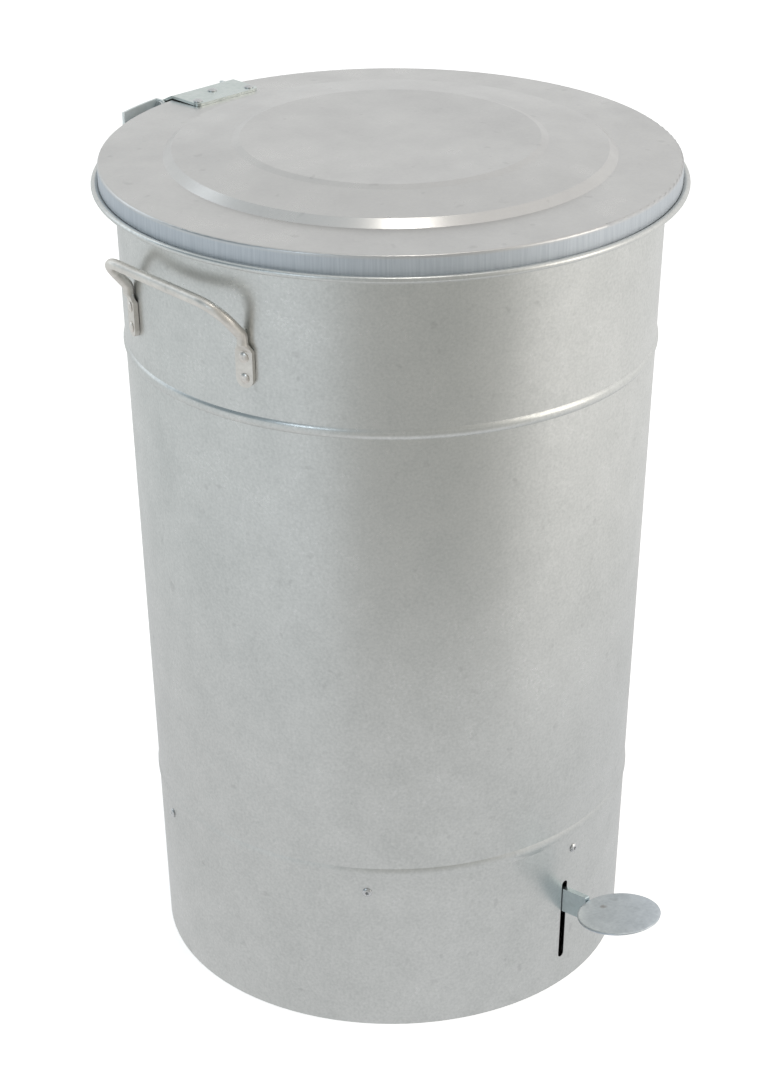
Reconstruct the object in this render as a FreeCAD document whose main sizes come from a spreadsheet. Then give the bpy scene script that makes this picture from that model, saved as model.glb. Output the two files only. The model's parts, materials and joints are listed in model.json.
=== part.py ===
import FreeCAD, Part
import math
import os
import re
import Sketcher

# A round galvanized sheet steel bin whose lid is opened by a pedal.
# Millimetres. +Z is up, the floor is Z = 0 and the can's axis is the Z axis.
# The pedal is at -Y, the lid hinge at +Y and the two handles at -X and +X.
# An azimuth is measured about Z from the front (-Y) towards +X, in degrees.

V = FreeCAD.Vector
doc = FreeCAD.newDocument("pedal_bin")
sheet = doc.addObject("Spreadsheet::Sheet", "sizes")

DRIVING_SIZES = (
    # the lid's radius leads: the radii of the other round pieces keep their distance from it
    ("lid_radius", 214.8),
    # body: a tapered can with two swaged beads and a curled rim
    ("base_inset", 30.4),
    ("body_taper", 1.75),
    ("body_gauge", 1.0),
    ("base_lip", 10.0),
    ("lower_bead_level", 140.5),
    ("lower_bead_width", 9.5),
    ("lower_bead_proud", 1.0),
    ("upper_bead_level", 508.5),
    ("upper_bead_width", 8.0),
    ("upper_bead_proud", 1.6),
    ("rim_overhang", 5.4),
    ("curl_radius", 2.4),
    ("curl_level", 629.5),
    ("flare_angle", 31.7),
    ("neck_bend", 3.0),
    # raised floor pan
    ("floor_level", 134.0),
    ("floor_gauge", 1.0),
    ("floor_skirt", 18.0),
    ("floor_shoulder", 2.0),
    ("floor_fit", 0.15),
    ("floor_step_inset", 36.4),
    ("floor_step_run", 5.0),
    ("floor_step_rise", 4.0),
    # lid
    ("lid_gauge", 0.9),
    ("lid_rest_gap", 0.3),
    ("lid_skirt", 14.8),
    ("lid_crease_bend", 1.8),
    ("lid_hem", 6.0),
    ("lid_hem_thickness", 1.9),
    ("outer_ring_width", 47.8),
    ("outer_ring_rise", 1.5),
    ("outer_step_width", 6.5),
    ("middle_ring_outer_rise", 6.8),
    ("middle_ring_width", 44.5),
    ("middle_ring_inner_rise", 12.0),
    ("inner_step_width", 5.5),
    ("centre_disc_rise", 14.0),
    # hinge
    ("hinge_pin_radius", 2.5),
    ("hinge_pin_overhang", 7.7),
    ("hinge_pin_level", 638.5),
    ("running_fit", 0.05),
    ("strap_gauge", 2.0),
    ("seat_gap", 0.05),
    ("hinge_plate_overlap", 33.8),
    ("hinge_plate_width", 63.0),
    ("hinge_plate_slope", 27.0),
    ("hinge_plate_bend", 6.0),
    ("hinge_plate_corner", 5.0),
    ("hinge_roll_turn", 295.0),
    ("bracket_clearance", 8.0),
    ("bracket_half_angle", 18.8),
    ("bracket_top", 643.2),
    ("bracket_saddle_level", 630.0),
    ("bracket_shelf_level", 618.0),
    ("bracket_foot_top", 598.0),
    ("bracket_foot_bottom", 562.0),
    ("bracket_bend", 3.0),
    ("ear_gap", 1.0),
    ("ear_radius", 5.0),
    ("pin_head_radius", 4.5),
    ("pin_head_height", 2.0),
    # lid arm and push rod
    ("lid_travel", 72.0),
    ("arm_length", 38.0),
    ("arm_pin_radius", 3.0),
    ("arm_cheek_radius", 6.5),
    ("arm_cheek_width", 12.0),
    ("arm_base_width", 60.0),
    ("arm_base_depth", 22.0),
    ("head_gauge", 3.0),
    ("head_side_gap", 0.4),
    ("head_slot_sway", 9.0),
    ("head_slot_play", 0.9),
    ("head_border", 4.2),
    ("head_tang_length", 16.0),
    ("head_tang_width", 7.0),
    ("rod_radius", 3.5),
    ("rod_lean", 2.4),
    ("rod_foot_bend", 5.0),
    ("rod_foot_reach", 13.5),
    ("rod_hole_gap", 1.5),
    ("clip_radius", 7.0),
    ("clip_gauge", 1.2),
    # cover of the push rod
    ("cover_gauge", 1.0),
    ("cover_half_width", 13.0),
    ("cover_depth", 24.0),
    ("cover_flange", 10.0),
    ("cover_bottom", 138.5),
    ("cover_top", 592.0),
    ("cover_wall_gap", 0.15),
    ("cover_corner", 3.0),
    ("cover_rivet_side", 18.0),
    ("cover_rivet_low", 190.0),
    ("cover_rivet_high", 540.0),
    # pedal lever and its pivot
    ("lever_offset", 6.8),
    ("lever_pivot_back", -12.0),
    ("lever_pivot_level", 60.5),
    ("lever_rise", 6.3),
    ("lever_height", 20.5),
    ("lever_thickness", 4.5),
    ("lever_overhang", 61.6),
    ("lever_heel", 12.0),
    ("lever_slot_sway", 3.0),
    ("lever_slot_play", 0.4),
    ("pedal_seat_length", 44.5),
    ("pedal_seat_drop", 4.5),
    ("pedal_setback", 11.8),
    ("pedal_radius", 32.0),
    ("pedal_crown", 1.0),
    ("pedal_crown_border", 5.0),
    ("pedal_gauge", 2.0),
    ("slot_side_gap", 0.75),
    ("slot_bottom", 24.7),
    ("slot_top", 96.5),
    ("pivot_bolt_radius", 4.0),
    ("pivot_side_gap", 0.4),
    ("pivot_cheek_radius", 12.0),
    ("pivot_base_length", 64.0),
    ("pivot_base_width", 46.0),
    ("bolt_head_across", 13.0),
    ("bolt_head_height", 5.0),
    # handles
    ("handle_azimuth", 92.0),
    ("handle_half_angle", 18.4),
    ("handle_bar_radius", 4.0),
    ("handle_tab_bottom", 534.5),
    ("handle_tab_top", 562.0),
    ("handle_neck", 6.0),
    ("handle_tab_width", 14.0),
    ("handle_tab_gauge", 3.5),
    ("handle_grip_level", 600.0),
    ("handle_grip_gap", 11.0),
    ("handle_corner", 19.0),
    ("handle_foot_bend", 8.0),
    ("handle_rivet_low", 541.7),
    ("handle_rivet_high", 557.5),
    # rivets
    ("rivet_head_radius", 3.8),
    ("rivet_head_height", 1.7),
    ("rivet_shank_radius", 2.0),
    ("rivet_tail", 2.0),
    ("rivet_hole_gap", 0.1),
    ("rivet_seat_gap", 0.06),
    ("floor_rivet_level", 123.5),
    ("floor_rivet_front", 4.6),
    ("floor_rivet_side", 49.6),
    ("floor_rivet_rear", 111.1),
    ("bracket_rivet_inner", 7.5),
    ("bracket_rivet_outer", 15.5),
    ("bracket_rivet_level", 580.0),
    ("lid_rivet_side", 26.0),
    ("lid_rivet_front_border", 6.4),
    ("lid_rivet_middle_border", 19.7),
)

# Sizes that keep their distance from a driving size, each from those above it.
FOLLOWING_SIZES = (
    ("base_radius", "lid_radius - base_inset"),
    ("rim_radius", "lid_radius + rim_overhang"),
    ("floor_step_radius", "lid_radius - base_inset - floor_step_inset"),
    ("outer_ring_inner_radius", "lid_radius - outer_ring_width"),
    ("middle_ring_outer_radius", "lid_radius - outer_ring_width - outer_step_width"),
    ("middle_ring_inner_radius", "lid_radius - outer_ring_width - outer_step_width - middle_ring_width"),
    ("centre_disc_radius", "lid_radius - outer_ring_width - outer_step_width - middle_ring_width"
                           " - inner_step_width"),
    ("hinge_pin_back", "lid_radius + hinge_pin_overhang"),
    ("bracket_radius", "lid_radius + hinge_pin_overhang + bracket_clearance"),
    ("hinge_plate_front", "lid_radius - hinge_plate_overlap"),
    ("lid_rivet_side_back", "lid_radius - hinge_plate_overlap + lid_rivet_front_border"),
    ("lid_rivet_middle_back", "lid_radius - hinge_plate_overlap + lid_rivet_middle_border"),
    ("lever_reach", "lid_radius - base_inset + lever_overhang"),
    ("pedal_reach", "lid_radius - base_inset + lever_overhang - pedal_setback"),
)

for row, (alias, number) in enumerate(DRIVING_SIZES, start=1):
    sheet.set("A%d" % row, alias.replace("_", " "))
    sheet.set("B%d" % row, repr(number))
    sheet.setAlias("B%d" % row, alias)
doc.recompute()

ALIASES = re.compile(r"\b(%s)\b" % "|".join(alias for alias, number in DRIVING_SIZES))
FOLLOWERS = re.compile(r"\b(%s)\b" % "|".join(name for name, rule in FOLLOWING_SIZES))
RULES = {name: "(%s)" % rule for name, rule in FOLLOWING_SIZES}


def bound(text):
    """An expression of size names, as the document writes it."""
    written_out = FOLLOWERS.sub(lambda found: RULES[found.group(1)], str(text))
    return ALIASES.sub(r"sizes.\1", written_out)


def value(text):
    """The number that an expression of size names gives now."""
    result = sheet.evalExpression(bound(text))
    return float(getattr(result, "Value", result))


# --- sizes that follow from the driving sizes --------------------------------

WALL_RISE = "tan(body_taper)"
WALL_THICK = "(body_gauge / cos(body_taper))"


def wall_outside(level):
    """Outer radius of the tapered wall at a height."""
    return "(base_radius + (%s) * %s)" % (level, WALL_RISE)


def wall_inside(level):
    """Inner radius of the tapered wall at a height."""
    return "(%s - %s)" % (wall_outside(level), WALL_THICK)


CURL_CENTRE = "(rim_radius - curl_radius)"
FLARE_END_RADIUS = "(%s - curl_radius * sin(flare_angle))" % CURL_CENTRE
FLARE_END_LEVEL = "(curl_level + curl_radius * cos(flare_angle))"
LID_FOOT = ("(%s + (lid_rest_gap + (lid_radius - %s) * sin(flare_angle)) / cos(flare_angle))"
            % (FLARE_END_LEVEL, FLARE_END_RADIUS))
CREASE_LEVEL = "(%s + lid_skirt)" % LID_FOOT


def outer_ring_level(radius):
    """Height of the lid's outer ring, on top, at a radius."""
    return ("(%s + outer_ring_rise * (lid_radius - (%s)) / (lid_radius - outer_ring_inner_radius))"
            % (CREASE_LEVEL, radius))


PLATE_UNDERSIDE = "(%s + seat_gap)" % outer_ring_level("hinge_plate_front")
ARM_BASE_TOP = ("(%s - lid_gauge - seat_gap)"
                % outer_ring_level("hypot(hinge_plate_front + arm_base_depth; arm_base_width / 2)"))
ARM_PIN_BACK = "(hinge_pin_back - arm_length * cos(lid_travel / 2))"
ARM_PIN_LEVEL = "(hinge_pin_level - arm_length * sin(lid_travel / 2))"
FLOOR_UNDERSIDE = "(floor_level + floor_step_rise - floor_gauge)"


def rod_back(level):
    """Y of the push rod's axis at a height: it leans back a little, like the rear wall."""
    return "(%s - (%s - (%s)) * tan(rod_lean))" % (ARM_PIN_BACK, ARM_PIN_LEVEL, level)


# The rod's foot lies on the lever's middle line.
ROD_FOOT_REACH = ("((%s - lever_pivot_back) / (cos(lever_rise) + sin(lever_rise) * tan(rod_lean)))"
                  % rod_back("lever_pivot_level"))
ROD_FOOT_LEVEL = "(lever_pivot_level - %s * sin(lever_rise))" % ROD_FOOT_REACH
ROD_LENGTH = "((%s - %s) / cos(rod_lean))" % (ARM_PIN_LEVEL, ROD_FOOT_LEVEL)


# --- sketching helpers --------------------------------------------------------

def new_body(name):
    body = doc.addObject("PartDesign::Body", name)
    body.Label = name
    return body


def origin_plane(body, role):
    return [feature for feature in body.Origin.OriginFeatures if feature.Role == role][0]


def corner(across, up, bend=None, arc=None):
    """One corner of an outline. bend rounds it off; arc = (radius, turn, long) joins it to the
    next corner by an arc that turns 'left' or 'right' and is under or over a half circle;
    the radius "half" makes exactly a half circle, between corners in line across or up."""
    return {"across": across, "up": up, "bend": bend, "arc": arc}


def arc_geometry(start, end, radius, turn, long_way):
    """Arc of a circle between two points, and which of its ends is the start."""
    chord = end - start
    half = chord.Length / 2.0
    normal = V(-chord.y, chord.x, 0).normalize()
    reach = math.sqrt(max(radius ** 2 - half ** 2, 0.0))
    side = 1.0 if (turn == "left") != long_way else -1.0
    centre = (start + end) * 0.5 + normal * (reach * side)
    angle_start = math.atan2(start.y - centre.y, start.x - centre.x)
    angle_end = math.atan2(end.y - centre.y, end.x - centre.x)
    circle = Part.Circle(centre, V(0, 0, 1), radius)
    if turn == "left":
        while angle_end <= angle_start:
            angle_end += 2 * math.pi
        return Part.ArcOfCircle(circle, angle_start, angle_end), 1, 2
    while angle_start <= angle_end:
        angle_start += 2 * math.pi
    return Part.ArcOfCircle(circle, angle_end, angle_start), 2, 1


def fix(sketch, kind, geometry, point, expression, label):
    """Ties one distance from the sketch's origin, or a radius, to an expression."""
    if kind == "Radius":
        index = sketch.addConstraint(Sketcher.Constraint(kind, geometry, value(expression)))
    else:
        index = sketch.addConstraint(
            Sketcher.Constraint(kind, -1, 1, geometry, point, value(expression)))
    sketch.renameConstraint(index, label)
    sketch.setExpression(".Constraints." + label, bound(expression))


def draw_outline(sketch, corners, prefix="c"):
    """Closed outline through the corners, every corner tied to the sheet."""
    count = len(corners)
    points = [V(value(item["across"]), value(item["up"]), 0) for item in corners]
    anchors = []
    for number, (item, point) in enumerate(zip(corners, points)):
        anchor = sketch.addGeometry(Part.Point(point), True)
        fix(sketch, "DistanceX", anchor, 1, item["across"], "%s%d_across" % (prefix, number))
        fix(sketch, "DistanceY", anchor, 1, item["up"], "%s%d_up" % (prefix, number))
        anchors.append(anchor)
    cuts = []
    for number, item in enumerate(corners):
        if item["bend"] is None:
            cuts.append((points[number], points[number]))
            continue
        before = (points[number - 1] - points[number]).normalize()
        after = (points[(number + 1) % count] - points[number]).normalize()
        half = before.getAngle(after) / 2.0
        setback = value(item["bend"]) / math.tan(half)
        cuts.append((points[number] + before * setback, points[number] + after * setback))
    sides = []
    for number, item in enumerate(corners):
        follower = (number + 1) % count
        start = cuts[number][1]
        end = cuts[follower][0]
        if item["arc"] is None:
            side = sketch.addGeometry(Part.LineSegment(start, end), False)
            sides.append((side, 1, 2))
            for at, end_point in ((number, 1), (follower, 2)):
                if corners[at]["bend"] is None:
                    sketch.addConstraint(
                        Sketcher.Constraint("Coincident", side, end_point, anchors[at], 1))
                else:
                    sketch.addConstraint(
                        Sketcher.Constraint("PointOnObject", anchors[at], 1, side))
        else:
            radius, turn, long_way = item["arc"]
            is_half = radius == "half"
            length = (end - start).Length / 2.0 if is_half else value(radius)
            shape, first, last = arc_geometry(start, end, length, turn, long_way)
            side = sketch.addGeometry(shape, False)
            sides.append((side, first, last))
            sketch.addConstraint(Sketcher.Constraint("Coincident", side, first, anchors[number], 1))
            sketch.addConstraint(Sketcher.Constraint("Coincident", side, last, anchors[follower], 1))
            label = "%s%d_arc" % (prefix, number)
            if not is_half:
                fix(sketch, "Radius", side, None, radius, label)
            elif abs(start.x - end.x) < abs(start.y - end.y):
                fix(sketch, "DistanceX", side, 3, item["across"], label)
            else:
                fix(sketch, "DistanceY", side, 3, item["up"], label)
    for number, item in enumerate(corners):
        if item["bend"] is None:
            continue
        begin, finish = cuts[number]
        turn_left = (finish - points[number]).cross(begin - points[number]).z > 0
        shape, first, last = arc_geometry(begin, finish, value(item["bend"]),
                                          "left" if turn_left else "right", False)
        arc = sketch.addGeometry(shape, False)
        incoming = sides[number - 1]
        outgoing = sides[number]
        sketch.addConstraint(Sketcher.Constraint("Tangent", incoming[0], incoming[2], arc, first))
        sketch.addConstraint(Sketcher.Constraint("Tangent", arc, last, outgoing[0], outgoing[1]))
        fix(sketch, "Radius", arc, None, item["bend"], "%s%d_bend" % (prefix, number))


def new_sketch(body, name, plane):
    sketch = body.newObject("Sketcher::SketchObject", name)
    sketch.AttachmentSupport = [(origin_plane(body, plane), "")]
    sketch.MapMode = "FlatFace"
    return sketch


def outline_sketch(body, name, plane, corners, offset=None):
    """Sketch of one outline on an origin plane, lifted off it by an expression."""
    sketch = new_sketch(body, name, plane)
    if offset is not None:
        sketch.setExpression("AttachmentOffset.Base.z", bound(offset))
        sketch.AttachmentOffset = FreeCAD.Placement(V(0, 0, value(offset)), FreeCAD.Rotation())
    draw_outline(sketch, corners)
    return sketch


def circle_sketch(body, name, plane, across, up, radius):
    sketch = new_sketch(body, name, plane)
    centre = V(value(across), value(up), 0)
    ring = sketch.addGeometry(Part.Circle(centre, V(0, 0, 1), value(radius)), False)
    fix(sketch, "DistanceX", ring, 3, across, "centre_across")
    fix(sketch, "DistanceY", ring, 3, up, "centre_up")
    fix(sketch, "Radius", ring, None, radius, "ring_radius")
    return sketch


def slot_corners(across_low, across_high, up, radius):
    """A slot with round ends that lies across."""
    below = "((%s) - (%s))" % (up, radius)
    above = "((%s) + (%s))" % (up, radius)
    return [corner(across_low, below),
            corner(across_high, below, arc=("half", "left", False)),
            corner(across_high, above),
            corner(across_low, above, arc=("half", "left", False))]


def revolve(body, sketch, name, angle=None):
    feature = body.newObject("PartDesign::Revolution", name)
    feature.Profile = sketch
    feature.ReferenceAxis = (sketch, ["V_Axis"])
    feature.Angle = 360.0
    if angle is not None:
        feature.Midplane = True
        feature.setExpression("Angle", bound(angle))
    return feature


def pad(body, sketch, name, length, midplane=True, reverse=False):
    feature = body.newObject("PartDesign::Pad", name)
    feature.Profile = sketch
    feature.Midplane = midplane
    feature.Reversed = reverse
    feature.setExpression("Length", bound(length))
    return feature


def pocket(body, sketch, name, length, midplane=True, reverse=False):
    """Cuts a sketch away, and makes sure that it really cut something."""
    doc.recompute()
    before = body.Shape.Volume
    feature = body.newObject("PartDesign::Pocket", name)
    feature.Profile = sketch
    feature.Midplane = midplane
    feature.Reversed = reverse
    feature.setExpression("Length", bound(length))
    doc.recompute()
    if not body.Shape.Volume < before - 1e-6:
        raise RuntimeError("%s cuts nothing" % name)
    return feature


def place(item, across, back, level, tilt=None):
    """Puts an object at a point; tilt leans its top towards +Y, in degrees."""
    rotation = FreeCAD.Rotation()
    if tilt is not None:
        rotation = FreeCAD.Rotation(V(-1, 0, 0), value(tilt))
    item.Placement = FreeCAD.Placement(V(value(across), value(back), value(level)), rotation)
    item.setExpression("Placement.Base.x", bound(across))
    item.setExpression("Placement.Base.y", bound(back))
    item.setExpression("Placement.Base.z", bound(level))
    if tilt is not None:
        item.setExpression("Placement.Rotation.Angle", bound(tilt))


def wall_frame(azimuth, level, gap=0.0):
    """Placement on the wall's outside, its Z axis square to the tapered wall, pointing out."""
    radius = value(wall_outside(repr(level)))
    taper = math.radians(value("body_taper"))
    turn = math.radians(azimuth)
    outward = V(math.cos(taper) * math.sin(turn), -math.cos(taper) * math.cos(turn),
                -math.sin(taper))
    base = V(radius * math.sin(turn), -radius * math.cos(turn), level) + outward * gap
    return FreeCAD.Placement(base, FreeCAD.Rotation(V(0, 0, 1), outward))


def rivet_solid(grip):
    """A domed rivet whose head sits on Z = 0 and whose shank holds sheets of this thickness."""
    head = value("rivet_head_radius")
    height = value("rivet_head_height")
    shank = value("rivet_shank_radius")
    edge = height * 0.3
    depth = -grip - value("rivet_tail")
    # the dome is a cap of a sphere that is centred on the rivet's axis
    sphere = (head ** 2 + (height - edge) ** 2) / (2 * (height - edge))
    half = math.asin(head / sphere) / 2.0
    middle = V(sphere * math.sin(half), 0, height - sphere * (1 - math.cos(half)))
    dome = Part.Arc(V(head, 0, edge), middle, V(0, 0, height)).toShape()
    rest = Part.makePolygon([V(0, 0, height), V(0, 0, depth), V(shank, 0, depth), V(shank, 0, 0),
                             V(head, 0, 0), V(head, 0, edge)])
    face = Part.Face(Part.Wire([dome] + list(rest.Edges)))
    return face.revolve(V(0, 0, 0), V(0, 0, 1), 360)


def rivet_set(name, frames, grip):
    """The rivets of one joint as separate solids, and the holes that they pass through."""
    lift = FreeCAD.Placement(V(0, 0, value("rivet_seat_gap")), FreeCAD.Rotation())
    rivets = []
    holes = []
    for frame in frames:
        rivet = rivet_solid(grip)
        rivet.Placement = frame * lift
        rivets.append(rivet)
        length = grip + 8.0
        radius = value("rivet_shank_radius + rivet_hole_gap")
        hole = Part.makeCylinder(radius, length, V(0, 0, 2.0 - length))
        hole.Placement = frame
        holes.append(hole)
    group = doc.addObject("Part::Feature", name)
    group.Label = name
    group.Shape = Part.makeCompound(rivets)
    drill = doc.addObject("Part::Feature", name + "_holes")
    drill.Shape = Part.makeCompound(holes)
    nodes.append(group)
    return drill


def drilled(name, base, drills):
    """The sheet piece with the rivet holes of one or more sets cut through it."""
    for number, drill in enumerate(drills, start=1):
        cut = doc.addObject("Part::Cut", "%s_drilled_%d" % (name, number))
        cut.Base = base
        cut.Tool = drill
        base = cut
    base.Label = name
    nodes.append(base)
    return base


nodes = []


# --- body shell ---------------------------------------------------------------

def bead_levels(bead):
    low = "(%s_bead_level - %s_bead_width / 2)" % (bead, bead)
    high = "(%s_bead_level + %s_bead_width / 2)" % (bead, bead)
    return low, high


def bead_radius(bead):
    """Radius of the arc that stands proud by the bead's height over its width."""
    half = "%s_bead_width / 2" % bead
    return "(((%s) ^ 2 + %s_bead_proud ^ 2) / (2 * %s_bead_proud))" % (half, bead, bead)


def make_body_shell():
    body = new_body("body_shell_sheet")
    lower_low, lower_high = bead_levels("lower")
    upper_low, upper_high = bead_levels("upper")
    lower_arc = bead_radius("lower")
    upper_arc = bead_radius("upper")
    # where the wall's two faces meet the flare's two faces
    inner_meet = ("((%s + (base_radius - %s - %s) * tan(flare_angle)) / (1 - %s * tan(flare_angle)))"
                  % (FLARE_END_LEVEL, WALL_THICK, FLARE_END_RADIUS, WALL_RISE))
    under_radius = "(%s + body_gauge * sin(flare_angle))" % FLARE_END_RADIUS
    under_level = "(%s - body_gauge * cos(flare_angle))" % FLARE_END_LEVEL
    outer_meet = ("((%s + (base_radius - %s) * tan(flare_angle)) / (1 - %s * tan(flare_angle)))"
                  % (under_level, under_radius, WALL_RISE))
    shut = "(90 + flare_angle + acos((curl_radius - body_gauge) / curl_radius) / 1deg)"
    shut_radius = "(%s + curl_radius * cos(%s))" % (CURL_CENTRE, shut)
    shut_level = "(curl_level + curl_radius * sin(%s))" % shut
    corners = [
        corner("base_radius - base_lip", "0"),
        corner(wall_outside("0"), "0"),
        corner(wall_outside(lower_low), lower_low, arc=(lower_arc, "left", False)),
        corner(wall_outside(lower_high), lower_high),
        corner(wall_outside(upper_low), upper_low, arc=(upper_arc, "left", False)),
        corner(wall_outside(upper_high), upper_high),
        corner(wall_outside(outer_meet), outer_meet, bend="neck_bend"),
        corner(shut_radius, shut_level, arc=("curl_radius", "left", True)),
        corner(FLARE_END_RADIUS, FLARE_END_LEVEL),
        corner(wall_inside(inner_meet), inner_meet),
        corner(wall_inside(upper_high), upper_high, arc=(upper_arc, "right", False)),
        corner(wall_inside(upper_low), upper_low),
        corner(wall_inside(lower_high), lower_high, arc=(lower_arc, "right", False)),
        corner(wall_inside(lower_low), lower_low),
        corner(wall_inside("body_gauge"), "body_gauge"),
        corner("base_radius - base_lip", "body_gauge"),
    ]
    profile = outline_sketch(body, "body_profile", "XZ_Plane", corners)
    revolve(body, profile, "body_turn")
    half = "(lever_thickness / 2 + slot_side_gap)"
    low = "(slot_bottom + %s)" % half
    high = "(slot_top - %s)" % half
    slot = outline_sketch(body, "lever_slot_outline", "XZ_Plane", [
        corner("lever_offset + %s" % half, low),
        corner("lever_offset + %s" % half, high, arc=("half", "left", False)),
        corner("lever_offset - %s" % half, high),
        corner("lever_offset - %s" % half, low, arc=("half", "left", False)),
    ])
    pocket(body, slot, "lever_slot", "base_radius + lever_offset * 4", False, True)
    return body


# --- raised floor pan ----------------------------------------------------------

def make_floor_pan():
    body = new_body("floor_pan_sheet")
    foot = "(floor_level - floor_skirt)"
    top_radius = "(%s - floor_fit)" % wall_inside("floor_level")
    foot_radius = "(%s - floor_fit)" % wall_inside(foot)
    raised = "(floor_level + floor_step_rise)"
    step_inner = "(floor_step_radius - floor_step_run)"
    corners = [
        corner("0", "%s - floor_gauge" % raised),
        corner(step_inner, "%s - floor_gauge" % raised),
        corner("floor_step_radius", "floor_level - floor_gauge"),
        corner("%s - floor_gauge" % top_radius, "floor_level - floor_gauge"),
        corner("%s - floor_gauge" % foot_radius, foot),
        corner(foot_radius, foot),
        corner(top_radius, "floor_level - floor_shoulder"),
        corner("%s - floor_shoulder" % top_radius, "floor_level"),
        corner("floor_step_radius", "floor_level"),
        corner(step_inner, raised),
        corner("0", raised),
    ]
    profile = outline_sketch(body, "floor_profile", "XZ_Plane", corners)
    revolve(body, profile, "floor_turn")
    hole = circle_sketch(body, "rod_hole_outline", "XY_Plane", "0", rod_back("floor_level"),
                         "rod_radius + rod_hole_gap")
    pocket(body, hole, "rod_hole", "floor_level + floor_gauge", False, True)
    return body


# --- lid ------------------------------------------------------------------------

def make_lid():
    body = new_body("lid_panel_sheet")
    steps = [
        ("outer_ring_inner_radius", "outer_ring_rise"),
        ("middle_ring_outer_radius", "middle_ring_outer_rise"),
        ("middle_ring_inner_radius", "middle_ring_inner_rise"),
        ("centre_disc_radius", "centre_disc_rise"),
        ("0", "centre_disc_rise"),
    ]
    upper = [corner(radius, "%s + %s" % (CREASE_LEVEL, rise)) for radius, rise in steps]
    under = [corner(radius, "%s + %s - lid_gauge" % (CREASE_LEVEL, rise)) for radius, rise in steps]
    corners = [
        corner("lid_radius - lid_gauge", "%s - lid_gauge" % CREASE_LEVEL),
        corner("lid_radius - lid_gauge", "%s + lid_hem" % LID_FOOT),
        corner("lid_radius - lid_hem_thickness", "%s + lid_hem" % LID_FOOT),
        corner("lid_radius - lid_hem_thickness", LID_FOOT),
        corner("lid_radius", LID_FOOT),
        corner("lid_radius", CREASE_LEVEL, bend="lid_crease_bend"),
    ] + upper + list(reversed(under))
    profile = outline_sketch(body, "lid_profile", "XZ_Plane", corners)
    revolve(body, profile, "lid_turn")
    return body


# --- lid hinge plate, its sheet rolled round the pin ----------------------------

ROLL_INSIDE = "(hinge_pin_radius + running_fit)"
ROLL_OUTSIDE = "(hinge_pin_radius + running_fit + strap_gauge)"


def around_pin(radius, angle):
    """A point on the roll: the angle is counted from +Y towards +Z."""
    return ("hinge_pin_back + %s * cos(%s)" % (radius, angle),
            "hinge_pin_level + %s * sin(%s)" % (radius, angle))


def make_hinge_plate():
    body = new_body("lid_hinge_plate_sheet")
    begin = "(90 - hinge_plate_slope)"
    finish = "(90 - hinge_plate_slope - hinge_roll_turn)"

    def slope_meets(level, radius):
        across, up = around_pin(radius, begin)
        return "(%s - ((%s) - (%s)) / tan(hinge_plate_slope))" % (across, level, up)

    top = "(%s + strap_gauge)" % PLATE_UNDERSIDE
    outside_start = around_pin(ROLL_OUTSIDE, begin)
    outside_end = around_pin(ROLL_OUTSIDE, finish)
    inside_end = around_pin(ROLL_INSIDE, finish)
    inside_start = around_pin(ROLL_INSIDE, begin)
    corners = [
        corner("hinge_plate_front", PLATE_UNDERSIDE),
        corner(slope_meets(PLATE_UNDERSIDE, ROLL_INSIDE), PLATE_UNDERSIDE, bend="hinge_plate_bend"),
        corner(*inside_start, arc=(ROLL_INSIDE, "right", True)),
        corner(*inside_end),
        corner(*outside_end, arc=(ROLL_OUTSIDE, "left", True)),
        corner(*outside_start),
        corner(slope_meets(top, ROLL_OUTSIDE), top, bend="hinge_plate_bend + strap_gauge"),
        corner("hinge_plate_front", top),
    ]
    profile = outline_sketch(body, "hinge_plate_profile", "YZ_Plane", corners)
    plate = pad(body, profile, "hinge_plate_length", "hinge_plate_width")
    doc.recompute()
    # the two front corners of the plate are rounded
    front = value("hinge_plate_front")
    edges = ["Edge%d" % (number + 1) for number, edge in enumerate(body.Shape.Edges)
             if abs(edge.CenterOfMass.y - front) < 1e-3
             and abs(abs(edge.CenterOfMass.x) - value("hinge_plate_width / 2")) < 1e-3]
    rounding = body.newObject("PartDesign::Fillet", "hinge_plate_corners")
    rounding.Base = (plate, edges)
    rounding.setExpression("Radius", bound("hinge_plate_corner"))
    return body


# --- hinge bracket on the body ---------------------------------------------------

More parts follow.
